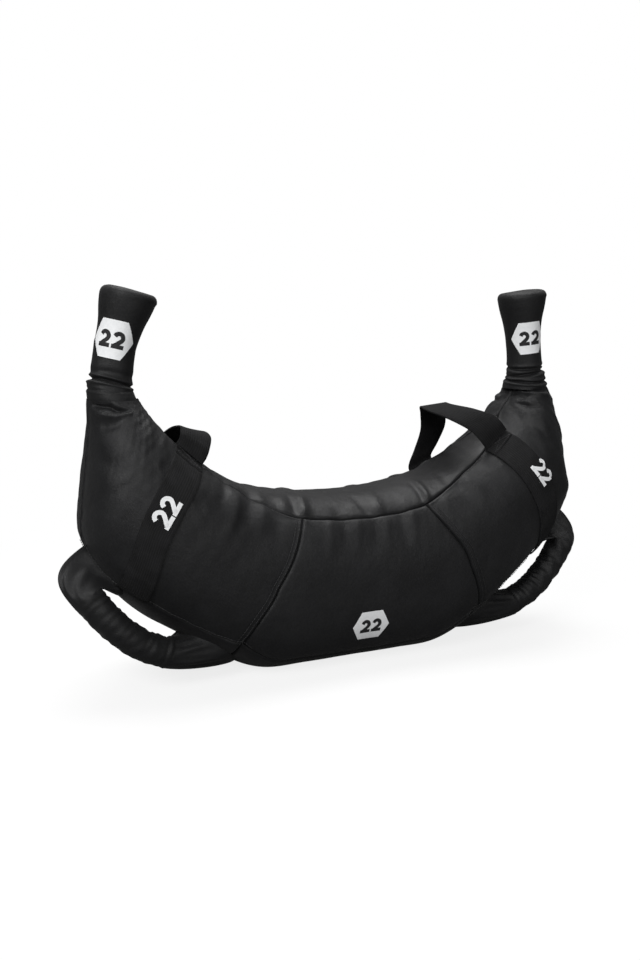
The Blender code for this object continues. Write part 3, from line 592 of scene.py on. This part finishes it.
def angle_between(low, high, share, corners=1.22):
    start, end = stretch(low, 1 / corners), stretch(high, 1 / corners)
    return stretch(start + (end - start) * share, corners)


def panel_place(first, last):
    """Places between two seams along the bag and between the inner and the outer seam."""
    def place(along, across):
        angle = np.full(np.shape(along), 1.2)
        for _ in range(8):
            station = first(angle) + (last(angle) - first(angle)) * along
            angle = angle_between(inner_seam(station), outer_seam(station), across)
        return station, angle
    return place


def gusset_place(seam, first, last):
    """Places between two stations and between a seam and its mirror image on the back."""
    def place(along, across):
        station = first + (last - first) * along
        edge = seam(station)
        low, high = (-edge, edge) if seam is inner_seam else (edge, TURN - edge)
        return station, angle_between(low, high, across)
    return place


def mirrored(place, side, sense):
    """The same places on one side and one face of the bag."""
    def turned(along, across):
        station, angle = place(along, across)
        return side * station, sense * angle
    return turned


def build_cover():
    """Panels and gussets of the cover."""
    centre = panel_place(lambda angle: -side_seam("left")(angle), side_seam("right"))
    flanks = {name: panel_place(side_seam(name), rim_station) for name in SIDES}
    all_borders, three_borders = ("first", "last", "low", "high"), ("first", "low", "high")
    made = {}
    for face, sense in FACES.items():
        key, place = f"{face}_centre", mirrored(centre, 1, sense)
        made[key] = panel(f"{key}_cover", place, (150, 96), all_borders, COVER)
        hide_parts(f"{key}_panel")
        for name, side in SIDES.items():
            key, place = f"{face}_{name}", mirrored(flanks[name], side, sense)
            made[key] = panel(f"{key}_cover", place, (210, 120), three_borders, COVER, ridge=0.0006)
            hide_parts(f"{key}_panel")
    place = gusset_place(inner_seam, -INNER_GUSSET_END, INNER_GUSSET_END)
    made["inner"] = panel("inner_gusset_cover", place, (260, 60), ("low", "high"))
    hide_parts("inner_gusset")
    place = gusset_place(outer_seam, -BASE_SEAM, BASE_SEAM)
    made["base"] = panel("base_gusset_cover", place, (140, 90), all_borders)
    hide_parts("base_gusset", "sand_bag")
    for name, side in SIDES.items():
        place = mirrored(gusset_place(outer_seam, BASE_SEAM, SIDE_GUSSET_END), side, 1)
        item = panel(f"{name}_side_gusset_cover", place, (110, 56), three_borders)
        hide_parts(f"{name}_side_gusset", f"{name}_wadding")
        made[f"{name}_side"] = item
    return made


# Threads of the seams
THREAD_RADIUS = 0.00042
STITCH_LENGTH = 0.0038
THREAD_STEP = 0.00085


def thread(name, station, angle, lift=0.0004):
    """A row of stitches along places on the cover."""
    line = cover_points(station, angle, lift)
    length = path_steps(line).sum()
    count = int(length / THREAD_STEP)
    line = evenly(line, count)
    tangents = unit(np.gradient(line, axis=0))
    side = unit(np.cross(tangents, (0.3, 0.9, 0.2)))
    out = np.cross(tangents, side)
    stitch = sin(linspace(0, length, count) * TURN / STITCH_LENGTH)
    radius = THREAD_RADIUS * (0.35 + 0.65 * clamp(stitch * 2.2 + 0.6))
    points = array([ring(*row, full_turn(6)) for row in zip(line, side, out, radius, radius)])
    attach(grid_mesh(name, points, (length, 0.003), THREAD), "bag")


def build_threads():
    """Stitch rows beside the belly panels' seams and the lower seams of the flanks."""
    for face, sense in FACES.items():
        for name, side in SIDES.items():
            angle = linspace(0.80, 2.28, 260)
            seam = side_seam(name)(angle)
            for row, gap in (("first", 0.0042), ("second", 0.0088)):
                station = seam + gap / rates(seam, angle)[0]
                thread(f"{face}_{name}_seam_{row}", side * station, sense * angle)
            station = linspace(2.65, 6.9, 420)
            edge = outer_seam(station)
            angle = edge - 0.0045 / rates(station, edge)[1]
            thread(f"{face}_{name}_foot_seam", side * station, sense * angle)


# Half the section of webbing sewn to the cover: share of the width, and height in millimetres
BAND_SECTION = ((-0.5, -1.6), (-0.5, -0.3), (-0.492, 0), (-0.42, -0.25), (-0.30, 0.1), (-0.15, 0.1))


def band_station(face, name, angle, across):
    """Stations at shares of the band's width from its centre line."""
    middle = look_up(BAND_CENTRE[face][name], angle, blur=0.15)
    return middle + WEBBING_WIDTH / rates(middle, angle)[0] * across


def band(title, low_angle, high_angle, face, name, rows, node):
    """A webbing strip sewn flat on the cover along the band's centre line."""
    half = array(BAND_SECTION)
    columns, heights = np.vstack([half, (0, 0.1), half[::-1] * (-1, 1)]).T
    along, across = np.meshgrid(linspace(0, 1, rows), columns, indexing="ij")
    angle = low_angle + (high_angle(0.0) - low_angle) * along
    for _ in range(6):
        station = band_station(face, name, angle, across)
        angle = low_angle + (high_angle(station) - low_angle) * along
    ends = np.minimum(along, 1 - along) * rows
    station, angle = SIDES[name] * station, FACES[face] * angle
    points = cover_points(station, angle, BAND_LIFT + heights * 0.001 - BAND_END_DROP * bell(ends, 0.8))
    middle = rows // 2, len(columns) // 2
    sizes = path_steps(points[:, middle[1]]).sum(), WEBBING_WIDTH
    outward = normals(station[middle], angle[middle])
    item = grid_mesh(title, points, sizes, WEBBING, outward)
    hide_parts(node)
    return item


def build_bands():
    """The bands, the straps' sewn ends above them and the stitches that hold these down."""
    made = {}
    for face, (top, foot) in {"front": (0.35, 0.62), "back": (0.86, 1.16)}.items():
        for name, side in SIDES.items():
            key = f"{face}_{name}"
            made[key] = band(f"{key}_webbing", foot, outer_seam, face, name, 90, f"{key}_band")
            made[f"{key}_end"] = band(
                f"{key}_sewn_end", top, lambda station: foot, face, name, 26, f"{key}_strap_end")
            # Two cross rows and a slanted pair
            rows = ((0.10, 0.10), (0.86, 0.86), (0.12, 0.84), (0.84, 0.12))
            for row, (low, high) in enumerate(rows, 1):
                angle = top + (foot - top) * (low + (high - low) * linspace(0, 1, 60))
                station = band_station(face, name, angle, linspace(-0.42, 0.42, 60))
                thread(f"{key}_end_stitch_{row}", side * station, FACES[face] * angle,
                       BAND_LIFT + 0.0003)
    return made


# Straps. Columns of a path: depth and sway in shares of the reach, with the rise between them
STRAP = {
    "reach": 0.086,
    "rise": {"left": 0.034, "right": 0.079},
    "twist": radians(30),
    "lift": 0.0032,
    "half_thickness": 0.0012,
    "station": {"front": {"left": 5.85, "right": 5.85}, "back": {"left": 5.05, "right": 4.20}},
    "angle": {"front": 0.43, "back": -0.98},
    "path": {
        "left": ((-0.465, 0.22, 0.01), (-0.44, 0.48, 0.05), (-0.30, 0.80, 0.10), (0.03, 1.00, 0.16),
                 (0.34, 0.98, 0.18), (0.62, 0.84, 0.16), (0.82, 0.60, 0.13), (0.92, 0.36, 0.07),
                 (0.93, 0.14, 0.02)),
        "right": ((-0.465, 0.20, -0.01), (-0.425, 0.42, -0.03), (-0.27, 0.71, -0.07),
                  (-0.02, 0.95, -0.08), (0.20, 0.99, 0.03), (0.42, 0.83, 0.16), (0.62, 0.57, 0.21),
                  (0.81, 0.34, 0.15), (0.95, 0.13, 0.04))},
}
# A quarter of a strap's rounded section, and then all of it
QUARTER = array(((-0.985, 0.75), (-0.95, 1), (-0.5, 1)))
HALF = np.vstack([(-1, 0), QUARTER, (0, 1), QUARTER[::-1] * (-1, 1)])
STRAP_SECTION = np.vstack([HALF, -HALF])


def strap_foot(name, face):
    """A strap's foot, with the directions along the crescent and away from its crest there."""
    station = SIDES[name] * STRAP["station"][face][name]
    along = unit(slopes(station, 0.0)[0])
    foot = cover_points(station, STRAP["angle"][face], STRAP["lift"])
    return foot, along, unit(np.cross(along, BACK)) * SIDES[name]


def build_straps():
    """The two webbing loops over the crest."""
    count = 110
    for name in SIDES:
        feet = strap_foot(name, "front"), strap_foot(name, "back")
        front, back, up_front = feet[0][0], feet[1][0], feet[0][2]
        reach = STRAP["reach"]
        arch = array(STRAP["path"][name]) * (reach, STRAP["rise"][name], reach)
        flat = smooth_path([(front[1], 0, 0), *arch, (back[1], 0, 0)], count)
        share = clamp((flat[:, :1] - front[1]) / (back[1] - front[1]))
        foot, along, up = (first + (last - first) * share for first, last in zip(*feet))
        along, up = unit(along), unit(up)
        centre = foot + BACK * (flat[:, :1] - foot[:, 1:2]) + up * flat[:, 1:2] + along * flat[:, 2:]
        twist = STRAP["twist"] * sin(pi * linspace(0, 1, count))[:, None]
        across = along * cos(twist) - up * sin(twist)
        facing = unit(np.cross(np.gradient(centre, axis=0), across))
        points = (centre[:, None] + across[:, None] * STRAP_SECTION[:, :1] * (WEBBING_WIDTH / 2)
                  + facing[:, None] * STRAP_SECTION[:, 1:] * STRAP["half_thickness"])
        sizes = path_steps(centre).sum(), 2 * WEBBING_WIDTH
        item = grid_mesh(f"{name}_webbing_strap", points, sizes, WEBBING)
        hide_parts(f"{name}_strap")
        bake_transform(item)


# Necks and grips
GRIP_LENGTH = {"left": 0.105, "right": 0.110}
GRIP_LEAN = {"left": 13.5, "right": 7.5}
WAIST_RADIUS, END_RADIUS = 0.0223, 0.0312
NECK_RADII = 0.0258, 0.0312
GRIP_OUTLINE = ((0.00, 0.04), (0.26, -0.05), (0.50, 0.03), (0.68, 0.28), (0.84, 0.72), (1.00, 1.0))
# How far in from the end's radius, and how far up: rounded shoulders, a seam, a domed top
SHOULDER = ((0.0002, -0.0075), (0.0006, -0.0050), (0.0016, -0.0028), (0.0034, -0.0010),
            (0.0058, 0.0000), (0.0070, -0.0004), (0.0078, -0.0010), (0.0086, -0.0004),
            (0.0100, 0.0003), (0.0150, 0.0008), (0.0220, 0.0011), (0.0290, 0.0012),
            (0.0316, 0.0012))
# Creases round each neck: height, depth, width, tilt and the turn at which it is deepest
CREASES = {
    "left": ((0.0062, 0.0050, 0.0016, 0.0020, 3.9), (-0.0008, 0.0010, 0.0012, -0.0010, 2.6),
             (0.0145, 0.0009, 0.0030, 0.0030, 4.6)),
    "right": ((0.0145, 0.0030, 0.0018, -0.0016, 4.4), (0.0065, 0.0040, 0.0019, 0.0024, 5.2),
              (-0.0020, 0.0036, 0.0017, -0.0026, 4.4)),
}
# How far each grip bends sideways at a height
BEND = {"left": ((-0.012, 0.006, 0.045, 0.070, 0.105), (0.0, -0.0030, -0.0063, -0.0048, -0.0026)),
        "right": ((-0.012, 0.006, 0.045, 0.080, 0.110), (0.0, 0.0012, 0.0018, 0.0030, 0.0042))}


def grip_axes(name):
    """Directions along a grip and across it, in the plane of the crescent."""
    lean = -SIDES[name] * radians(GRIP_LEAN[name])
    return (array((sin(lean), 0, cos(lean))), array((cos(lean), 0, -sin(lean))))


def neck_creases(name, height, turns):
    """How far the neck's fabric folds in at a height, all the way round."""
    total = np.zeros_like(turns)
    for index, (level, depth, width, tilt, deepest) in enumerate(CREASES[name]):
        place = level + tilt * sin(turns - deepest + 1.2) + 0.0006 * waves(turns, 61 + index)
        strength = depth * (0.62 + 0.38 * cos(turns - deepest))
        offset = (height - place) / width
        total += strength * (0.45 * bell(offset + 1.9, 1.1) + 0.25 * bell(offset - 1.9, 1.2)
                             - bell(offset, 1.0))
    return total


def build_grips():
    """The grips with the gathered necks they grow out of."""
    turns = full_turn(128)
    for name, side in SIDES.items():
        length, (axis, across) = GRIP_LENGTH[name], grip_axes(name)
        rings = []
        for height in [*linspace(-0.0135, 0.020, 62), *linspace(0.0215, length - 0.0105, 54)]:
            share = clamp((height - 0.0085) / (length - 0.0059 - 0.0085))
            radius = WAIST_RADIUS + (END_RADIUS - WAIST_RADIUS) * look_up(
                GRIP_OUTLINE, share, blur=0.06, samples=5)
            low = clamp((0.013 - height) / 0.024)
            low = low * low * (3 - 2 * low)
            folds = neck_creases(name, height, turns)
            near = bell(height - 0.006, 0.016)
            folds += 0.0005 * waves(turns * 2 + height * 30, 21 + side) * near
            folds += 0.00035 * waves(turns + height * 40, 31 + side) * (1 - 0.7 * share)
            rim = clamp((share - 0.75) / 0.25)
            squash = 1 - 0.03 * cos(2 * turns) * share + 0.012 * cos(3 * turns + side) * rim
            wide, deep = ((radius + (neck - radius) * low + folds) * squash for neck in NECK_RADII)
            upright = clamp((height + 0.0135) / 0.022)
            turned = unit(UP * (1 - upright) + axis * upright)
            sideways = unit(array((1, 0, 0)) * (1 - upright) + across * upright)
            centre = NECK[name] + turned * height + sideways * interp(height, *BEND[name])
            rings.append(ring(centre, sideways, BACK, wide, deep, turns))
        for inward, height in SHOULDER:
            radius = 0.0314 - inward
            lift = 0.0005 * sin(turns * 2 + 1.0) * min(1, inward / 0.004) * min(1, radius / 0.02)
            centre = NECK[name] + axis * (length + height) + across * BEND[name][1][-1]
            ripple = (1 - 0.03 * cos(2 * turns) + 0.012 * cos(3 * turns + side)
                      + 0.010 * sin(turns * 11 + 1.3) * bell(inward - 0.006, 0.003)) * radius
            rings.append(ring(centre + axis * lift[:, None], across, BACK, ripple, ripple, turns))
        item = grid_mesh(f"{name}_grip", array(rings), (length, 0.15), GRIP)
        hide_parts(f"{name}_grip_core", f"{name}_grip_sleeve", f"{name}_grip_end_cap",
                    f"{name}_neck_cuff")
        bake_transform(item)


# Side handles. The path gives shares of the way from root to root and of the reach outwards
HANDLE_PATH = (
    (0, 0), (0.03, 0.18), (0.10, 0.36), (0.19, 0.53), (0.30, 0.70), (0.41, 0.82), (0.53, 0.89),
    (0.65, 0.89), (0.76, 0.80), (0.86, 0.65), (0.94, 0.46), (0.985, 0.26), (1, 0))
HANDLE_LEAN = {"left": 36, "right": 8}
ROOTS = {
    "upper": {"station": 6.42, "standoff": 0.026, "flare": 6.12, "middle": 2.99, "arrival": 0.9,
              "half_length": 0.034, "half_depth": 0.030, "fullness": {-1: 1.7, 1: 1.1}},
    "lower": {"station": 3.85, "standoff": 0.0156, "flare": 3.30, "middle": 2.93, "arrival": 0.3,
              "half_length": 0.038, "half_depth": 0.040, "fullness": {-1: -0.10, 1: -0.10}}}
HANDLE_ANGLE = 2.85
HANDLE_RADIUS = 0.0166
HANDLE_REACH = 0.0272
FLARE_END = 7.15
FLARE_RIMS = 15, 77


def handle_ball(side, root):
    """The middle of a handle's root, off the cover."""
    station = side * ROOTS[root]["station"]
    return (raw_points(station, HANDLE_ANGLE)
            + normals(station, HANDLE_ANGLE) * ROOTS[root]["standoff"])


def flare_foot(side, root, turns, size, lift):
    """Points and normals of a flare's sewn edge, kept on the gusset between its seams."""
    station = ROOTS[root]["flare"]
    half_station = ROOTS[root]["half_length"] / rates(station, HANDLE_ANGLE)[0]
    angles = linspace(0, pi / 2, 400)
    depths = np.abs(raw_points(station, pi - angles)[:, 1])
    reach = interp(ROOTS[root]["half_depth"], depths, angles)
    place = np.minimum(station + half_station * size * cos(turns), FLARE_END)
    edge = outer_seam(place) + 0.02
    angle = np.clip(ROOTS[root]["middle"] - reach * size * sin(turns),
                    np.minimum(edge, 3.05), np.maximum(TURN - edge, 3.20))
    return cover_points(side * place, angle, lift), normals(side * place, angle)


def flare_rings(side, root, rim, heading, count=34):
    """Rings from a flare's sewn edge up to the tube, leaving one and meeting the other smoothly."""
    # The tube's outer side faces up the horn at the upper root, and the belly at the lower one
    turns = full_turn(len(rim))
    outer = ((1 + cos(turns)) / 2)[:, None] ** 1.3
    if root == "lower":
        turns = pi - turns
    foot, normal = flare_foot(side, root, turns, 1.0, -0.0012)
    inside, _ = flare_foot(side, root, turns, 0.86, 0.0)
    span = np.linalg.norm(rim - foot, axis=1)[:, None]
    leave = unit(normal + unit(normal.mean(0)) + 0.3 * unit(inside - foot))
    leave = leave * span * (0.38 + ROOTS[root]["fullness"][side] * outer)
    arrive = heading * span * (0.5 + ROOTS[root]["arrival"] * outer)
    rings = []
    for share in linspace(0, 1, count, endpoint=False):
        square, cube = share ** 2, share ** 3
        points = (foot * (2 * cube - 3 * square + 1) + rim * (3 * square - 2 * cube)
                  + leave * (cube - 2 * square + share) + arrive * (cube - square))
        bow = sin(pi * share)
        pleats = (0.0009 * sin(9 * turns + 0.7 + 2 * sin(turns)) * bow
                  + 0.0006 * sin(14 * turns + 2.1 + 3 * share) * bow ** 2)
        points = points + unit(points - points.mean(0)) * pleats[:, None]
        points[:, 2] = np.maximum(points[:, 2], 0.0006)
        rings.append(points)
    return rings


def facing(vectors, direction):
    """The same vectors, with those turned round that look away from a direction."""
    return np.where((vectors @ np.asarray(direction))[..., None] < 0, -vectors, vectors)


def build_handles():
    """The padded side handles with the flares they grow out of."""
    count, turns = 90, full_turn(72)
    for name, side in SIDES.items():
        upper, lower = handle_ball(side, "upper"), handle_ball(side, "lower")
        outside = facing(unit(np.cross(lower - upper, BACK)), (side, 0, 0))
        lean = radians(HANDLE_LEAN[name])
        reach = (outside * cos(lean) - BACK * sin(lean)) * HANDLE_REACH
        path = [upper + (lower - upper) * along + reach * out for along, out in HANDLE_PATH]
        path = smooth_path(path, count)
        tangents = unit(np.gradient(path, axis=0))
        outward = facing(unit(np.cross(tangents, BACK)), outside)[np.clip(np.arange(count), 4, 85)]
        forward = facing(unit(np.cross(tangents, outward)), -BACK)
        outward = facing(unit(np.cross(forward, tangents)), outside)
        body = []
        for index, share in enumerate(linspace(0, 1, count)):
            ends = bell(share, 0.13) + bell(1 - share, 0.13)
            patchy = 0.5 + 0.5 * sin(index * 0.11 + 1.7 * side) * sin(index * 0.27 + 0.6)
            tuck = 0.0003 + 0.0010 * ends + 0.0010 * ((1 - cos(turns)) / 2) ** 2 * patchy
            folds = (0.0007 * waves(turns * 2 + index * 0.2, 41 + side)
                     + tuck * waves(index * 0.62 + 1.7 * sin(turns), 45 + side)
                     + 0.0005 * waves(index * 0.36 + 2.0 * cos(turns), 47 + side))
            radius = HANDLE_RADIUS * (1 + 0.10 * ends) + folds
            body.append(ring(path[index], outward[index], forward[index], radius, radius, turns))
        first, last = FLARE_RIMS
        rings = (flare_rings(side, "upper", body[first], tangents[first]) + body[first:last + 1]
                 + flare_rings(side, "lower", body[last], -tangents[last])[::-1])
        item = grid_mesh(f"{name}_side_handle", array(rings), (0.3, 0.1), GRIP)
        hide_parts(f"{name}_handle_core", f"{name}_handle_cover",
                    f"{name}_upper_handle_flare", f"{name}_lower_handle_flare")
        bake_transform(item)


# Prints
PRINT_LIFT, INK_LIFT, BAND_PRINT_LIFT = 0.00025, 0.0005, 0.0007
RAY_START, RAY_REACH = 0.03, 0.1
GRIP_PRINT_RADIUS = 0.0225


def surface_tree(items):
    points, faces = [], []
    for item in items:
        base = len(points)
        points += [item.matrix_world @ vertex.co for vertex in item.data.vertices]
        faces += [[base + index for index in face.vertices] for face in item.data.polygons]
    return BVHTree.FromPolygons(points, faces)


def place_print(name, shapes, material, lift, tree, centre, right, up, body, wrap=0.0):
    """Lays flat shapes, given in metres to the right and upwards, on a surface as a thin print."""
    look = -np.cross(right, up)
    rows, faces = [], []
    for shape in shapes:
        index = np.arange(len(shape) * shape.shape[1]).reshape(shape.shape[:2])
        faces += (quads(index) + len(rows)).tolist()
        for x, y in shape.reshape(-1, 2):
            # Around a grip the print goes along the arc, and every point looks at the grip's axis
            turn = x / wrap if wrap else 0.0
            aim = look * cos(turn) - right * sin(turn)
            spot = centre + up * y + ((look - aim) * wrap if wrap else right * x)
            hit, normal, _, _ = tree.ray_cast(Vector(spot - aim * RAY_START), Vector(aim), RAY_REACH)
            if hit is None:
                hit, normal = Vector(spot), Vector(-aim)
            rows.append(hit + (normal if normal.dot(Vector(aim)) < 0 else -normal) * lift)
    mesh = new_mesh(name, rows, faces, material)
    build = bmesh.new()
    build.from_mesh(mesh)
    bmesh.ops.recalc_face_normals(build, faces=build.faces)
    if sum((face.normal.dot(Vector(look)) for face in build.faces)) > 0:
        bmesh.ops.reverse_faces(build, faces=build.faces)
    build.to_mesh(mesh)
    build.free()
    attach(add_object(name, mesh), body)


def ribbon(path, width, count):
    """A flat stroke of a given width along a path, as rows of 2-D points."""
    path = smooth_path(path, count)
    tangent = unit(np.gradient(path, axis=0))
    side = np.stack([-tangent[:, 1], tangent[:, 0]], -1)
    return path[:, None] + side[:, None] * (linspace(-0.5, 0.5, 7)[:, None] * width)


def digit_two(height, width, stroke):
    """Strokes of a plain numeral 2, centred on its place."""
    wide = (width - stroke) / 2
    tall = min(wide * 1.06, (height - stroke) * 0.36)
    top = height / 2 - stroke / 2 - tall
    arc = [(wide * cos(angle), top + tall * sin(angle))
           for angle in radians((165, 130, 90, 50, 10, -20))]
    foot = (-width / 2 + stroke * 0.60, -height / 2 + stroke * 0.55)
    bend = (wide * 0.56, top - tall * 0.85)
    half_way = ((bend[0] + foot[0]) / 2, (bend[1] + foot[1]) / 2)
    level = -height / 2 + stroke / 2
    return [ribbon(arc + [bend, half_way, foot], stroke, 60),
            ribbon([(-width / 2, level), (0.0, level), (width / 2, level)], stroke, 16)]


def number_22(height, width, stroke, gap):
    strokes = []
    for shift in (-(width + gap) / 2, (width + gap) / 2):
        strokes += [shape + array((shift, 0)) for shape in digit_two(height, width, stroke)]
    return strokes


def hexagon(half_width, half_height, shoulder):
    """A filled hexagon with its points to the left and right, as rows of 2-D points."""
    slope = linspace(shoulder, half_width, 14)[1:]
    columns = np.concatenate([-slope[::-1], linspace(-shoulder, shoulder, 26), slope])
    height = interp(columns, (-half_width, -shoulder, shoulder, half_width),
                       (0.0002, half_height, half_height, 0.0002))
    return [np.stack([np.repeat(columns[:, None], 25, 1),
                      height[:, None] * linspace(-1, 1, 25)], -1)]


def build_prints(cover, bands):
    """Numbers on the bands, and hexagons with dark numbers on the belly and the grips."""
    tree = surface_tree([cover["front_centre"], cover["base"]])
    along, around = slopes(0.05, 1.95)
    where = tree, cover_points(0.05, 1.95), unit(along), -unit(around), "bag"
    place_print("belly_hexagon", hexagon(0.0235, 0.0185, 0.0135), PRINT, PRINT_LIFT, *where)
    place_print("belly_number", number_22(0.0174, 0.0124, 0.0043, 0.0018), INK, INK_LIFT, *where)
    for name, side in SIDES.items():
        station, angle = {"left": (-5.96, 1.46), "right": (6.32, 1.44)}[name]
        tree = surface_tree([bands[f"front_{name}"], cover[f"front_{name}"]])
        run = unit(slopes(station, angle)[1]) * side
        rise = unit(np.cross(normals(station, angle), run))
        where = tree, cover_points(station, angle, BAND_LIFT), run, rise, "bag"
        number = number_22(0.0225, 0.0150, 0.0048, 0.0012)
        place_print(f"{name}_band_number", number, PRINT, BAND_PRINT_LIFT, *where)
        tree = surface_tree([bpy.data.objects[f"{name}_grip"]])
        rise, across = grip_axes(name)
        height, turn = {"left": (0.0508, -0.48), "right": (0.0525, -0.25)}[name]
        axis = NECK[name] + rise * height + across * interp(height, *BEND[name])
        out = across * sin(turn) - BACK * cos(turn)
        run = across * cos(turn) + BACK * sin(turn)
        where = tree, axis + out * GRIP_PRINT_RADIUS, run, rise, f"{name}_grip", GRIP_PRINT_RADIUS
        patch, number = hexagon(0.0245, 0.0200, 0.0130), number_22(0.0180, 0.0126, 0.0044, 0.0020)
        place_print(f"{name}_grip_hexagon", patch, PRINT, PRINT_LIFT, *where)
        place_print(f"{name}_grip_number", number, INK, INK_LIFT, *where)


# Stage, lights and camera
WHITE = (1, 1, 1, 1)
FLOOR_HALF = 6.0
FLOOR_BOUNCE, FLOOR_SEEN = (0.14, 0.14, 0.14, 1), (0.97, 0.97, 0.97, 1)
WORLD_LIGHT = 0.10


def seen_directly(tree):
    """1 for rays from the camera and through glass, 0 for rays that light the object."""
    rays = add_node(tree, "ShaderNodeLightPath").outputs
    return math_node("MAXIMUM", rays["Is Camera Ray"], rays["Is Transmission Ray"])


def build_stage():
    """A pale floor that keeps the shadow and fades to white away from it, and a white world."""
    material, tree, shader = new_material("pale_floor")
    seen = seen_directly(tree)
    feed(shader, {"Roughness": 0.9, "Specular IOR Level": 0.0,
                        "Base Color": mix(seen, FLOOR_BOUNCE, FLOOR_SEEN)})
    place = coordinates(tree, "Object")
    away = add_node(tree, "ShaderNodeVectorMath", {0: place}, operation="LENGTH").outputs["Value"]
    weight = math_node("MULTIPLY", value_range(away, 0.80, 1.0, 0.20, 0.75), seen)
    glow = add_node(tree, "ShaderNodeEmission", {"Color": WHITE, "Strength": 1.0})
    both = add_node(tree, "ShaderNodeMixShader", {
        "Fac": weight, 1: shader.outputs["BSDF"], 2: glow.outputs["Emission"]})
    feed(tree.nodes["Material Output"], {"Surface": both.outputs["Shader"]})
    corners = [(x * FLOOR_HALF, y * FLOOR_HALF, 0) for x, y in ((-1, -1), (1, -1), (1, 1), (-1, 1))]
    add_object("floor", new_mesh("floor", corners, [(0, 1, 2, 3)], material))

    world = bpy.data.worlds.new("studio")
    bpy.context.scene.world = world
    world.use_nodes = True
    tree = world.node_tree
    strength = value_range(seen_directly(tree), WORLD_LIGHT, 1.0, 0.0, 1.0)
    feed(tree.nodes["Background"], {"Color": WHITE, "Strength": strength})


def add_lamp(name, place, target, size, watts):
    data = bpy.data.lights.new(name, "AREA")
    data.shape = "RECTANGLE"
    data.size, data.size_y = size
    data.energy = watts
    lamp = add_object(name, data)
    lamp.location = place
    lamp.rotation_mode = "QUATERNION"
    lamp.rotation_quaternion = (Vector(target) - Vector(place)).to_track_quat("-Z", "Y")


def build_camera():
    """The photo's camera, with its focal length in pixels of the photo's height."""
    focal, photo_height, sensor, roll = 971.7, 960, 36.0, 0.00796206
    data = bpy.data.cameras.new("camera")
    data.sensor_width = sensor
    data.lens = focal * sensor / photo_height
    camera = add_object("camera", data)
    bpy.context.scene.camera = camera
    place, aim = Vector((-0.5198, -1.0259, 0.4097)), Vector((-0.0237, 0, 0.211))
    view = (aim - place).normalized()
    level = view.cross(Vector(UP)).normalized()
    above = level.cross(view)
    right = level * cos(roll) + above * sin(roll)
    up = above * cos(roll) - level * sin(roll)
    turn = Matrix((right, up, -view)).transposed().to_4x4()
    camera.matrix_world = Matrix.Translation(place) @ turn


cover = build_cover()
bands = build_bands()
build_threads()
build_straps()
build_grips()
build_handles()
bpy.context.view_layer.update()
build_prints(cover, bands)
for key, item in cover.items():
    if key.endswith("_left") or key.endswith("_right"):
        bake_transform(item)
    else:
        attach(item, "bag")
for item in bands.values():
    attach(item, "bag")
build_stage()
add_lamp("key", (-1.7, -1.1, 1.5), (0, 0, 0.2), (1.1, 0.9), 34)
add_lamp("top", (0.1, 0.5, 2.1), (0, 0, 0.25), (1.8, 1.0), 44)
add_lamp("fill", (-0.2, -2.3, 1.0), (0, 0, 0.2), (1.0, 0.8), 20)
build_camera()
bpy.context.scene.view_settings.view_transform = "Standard"
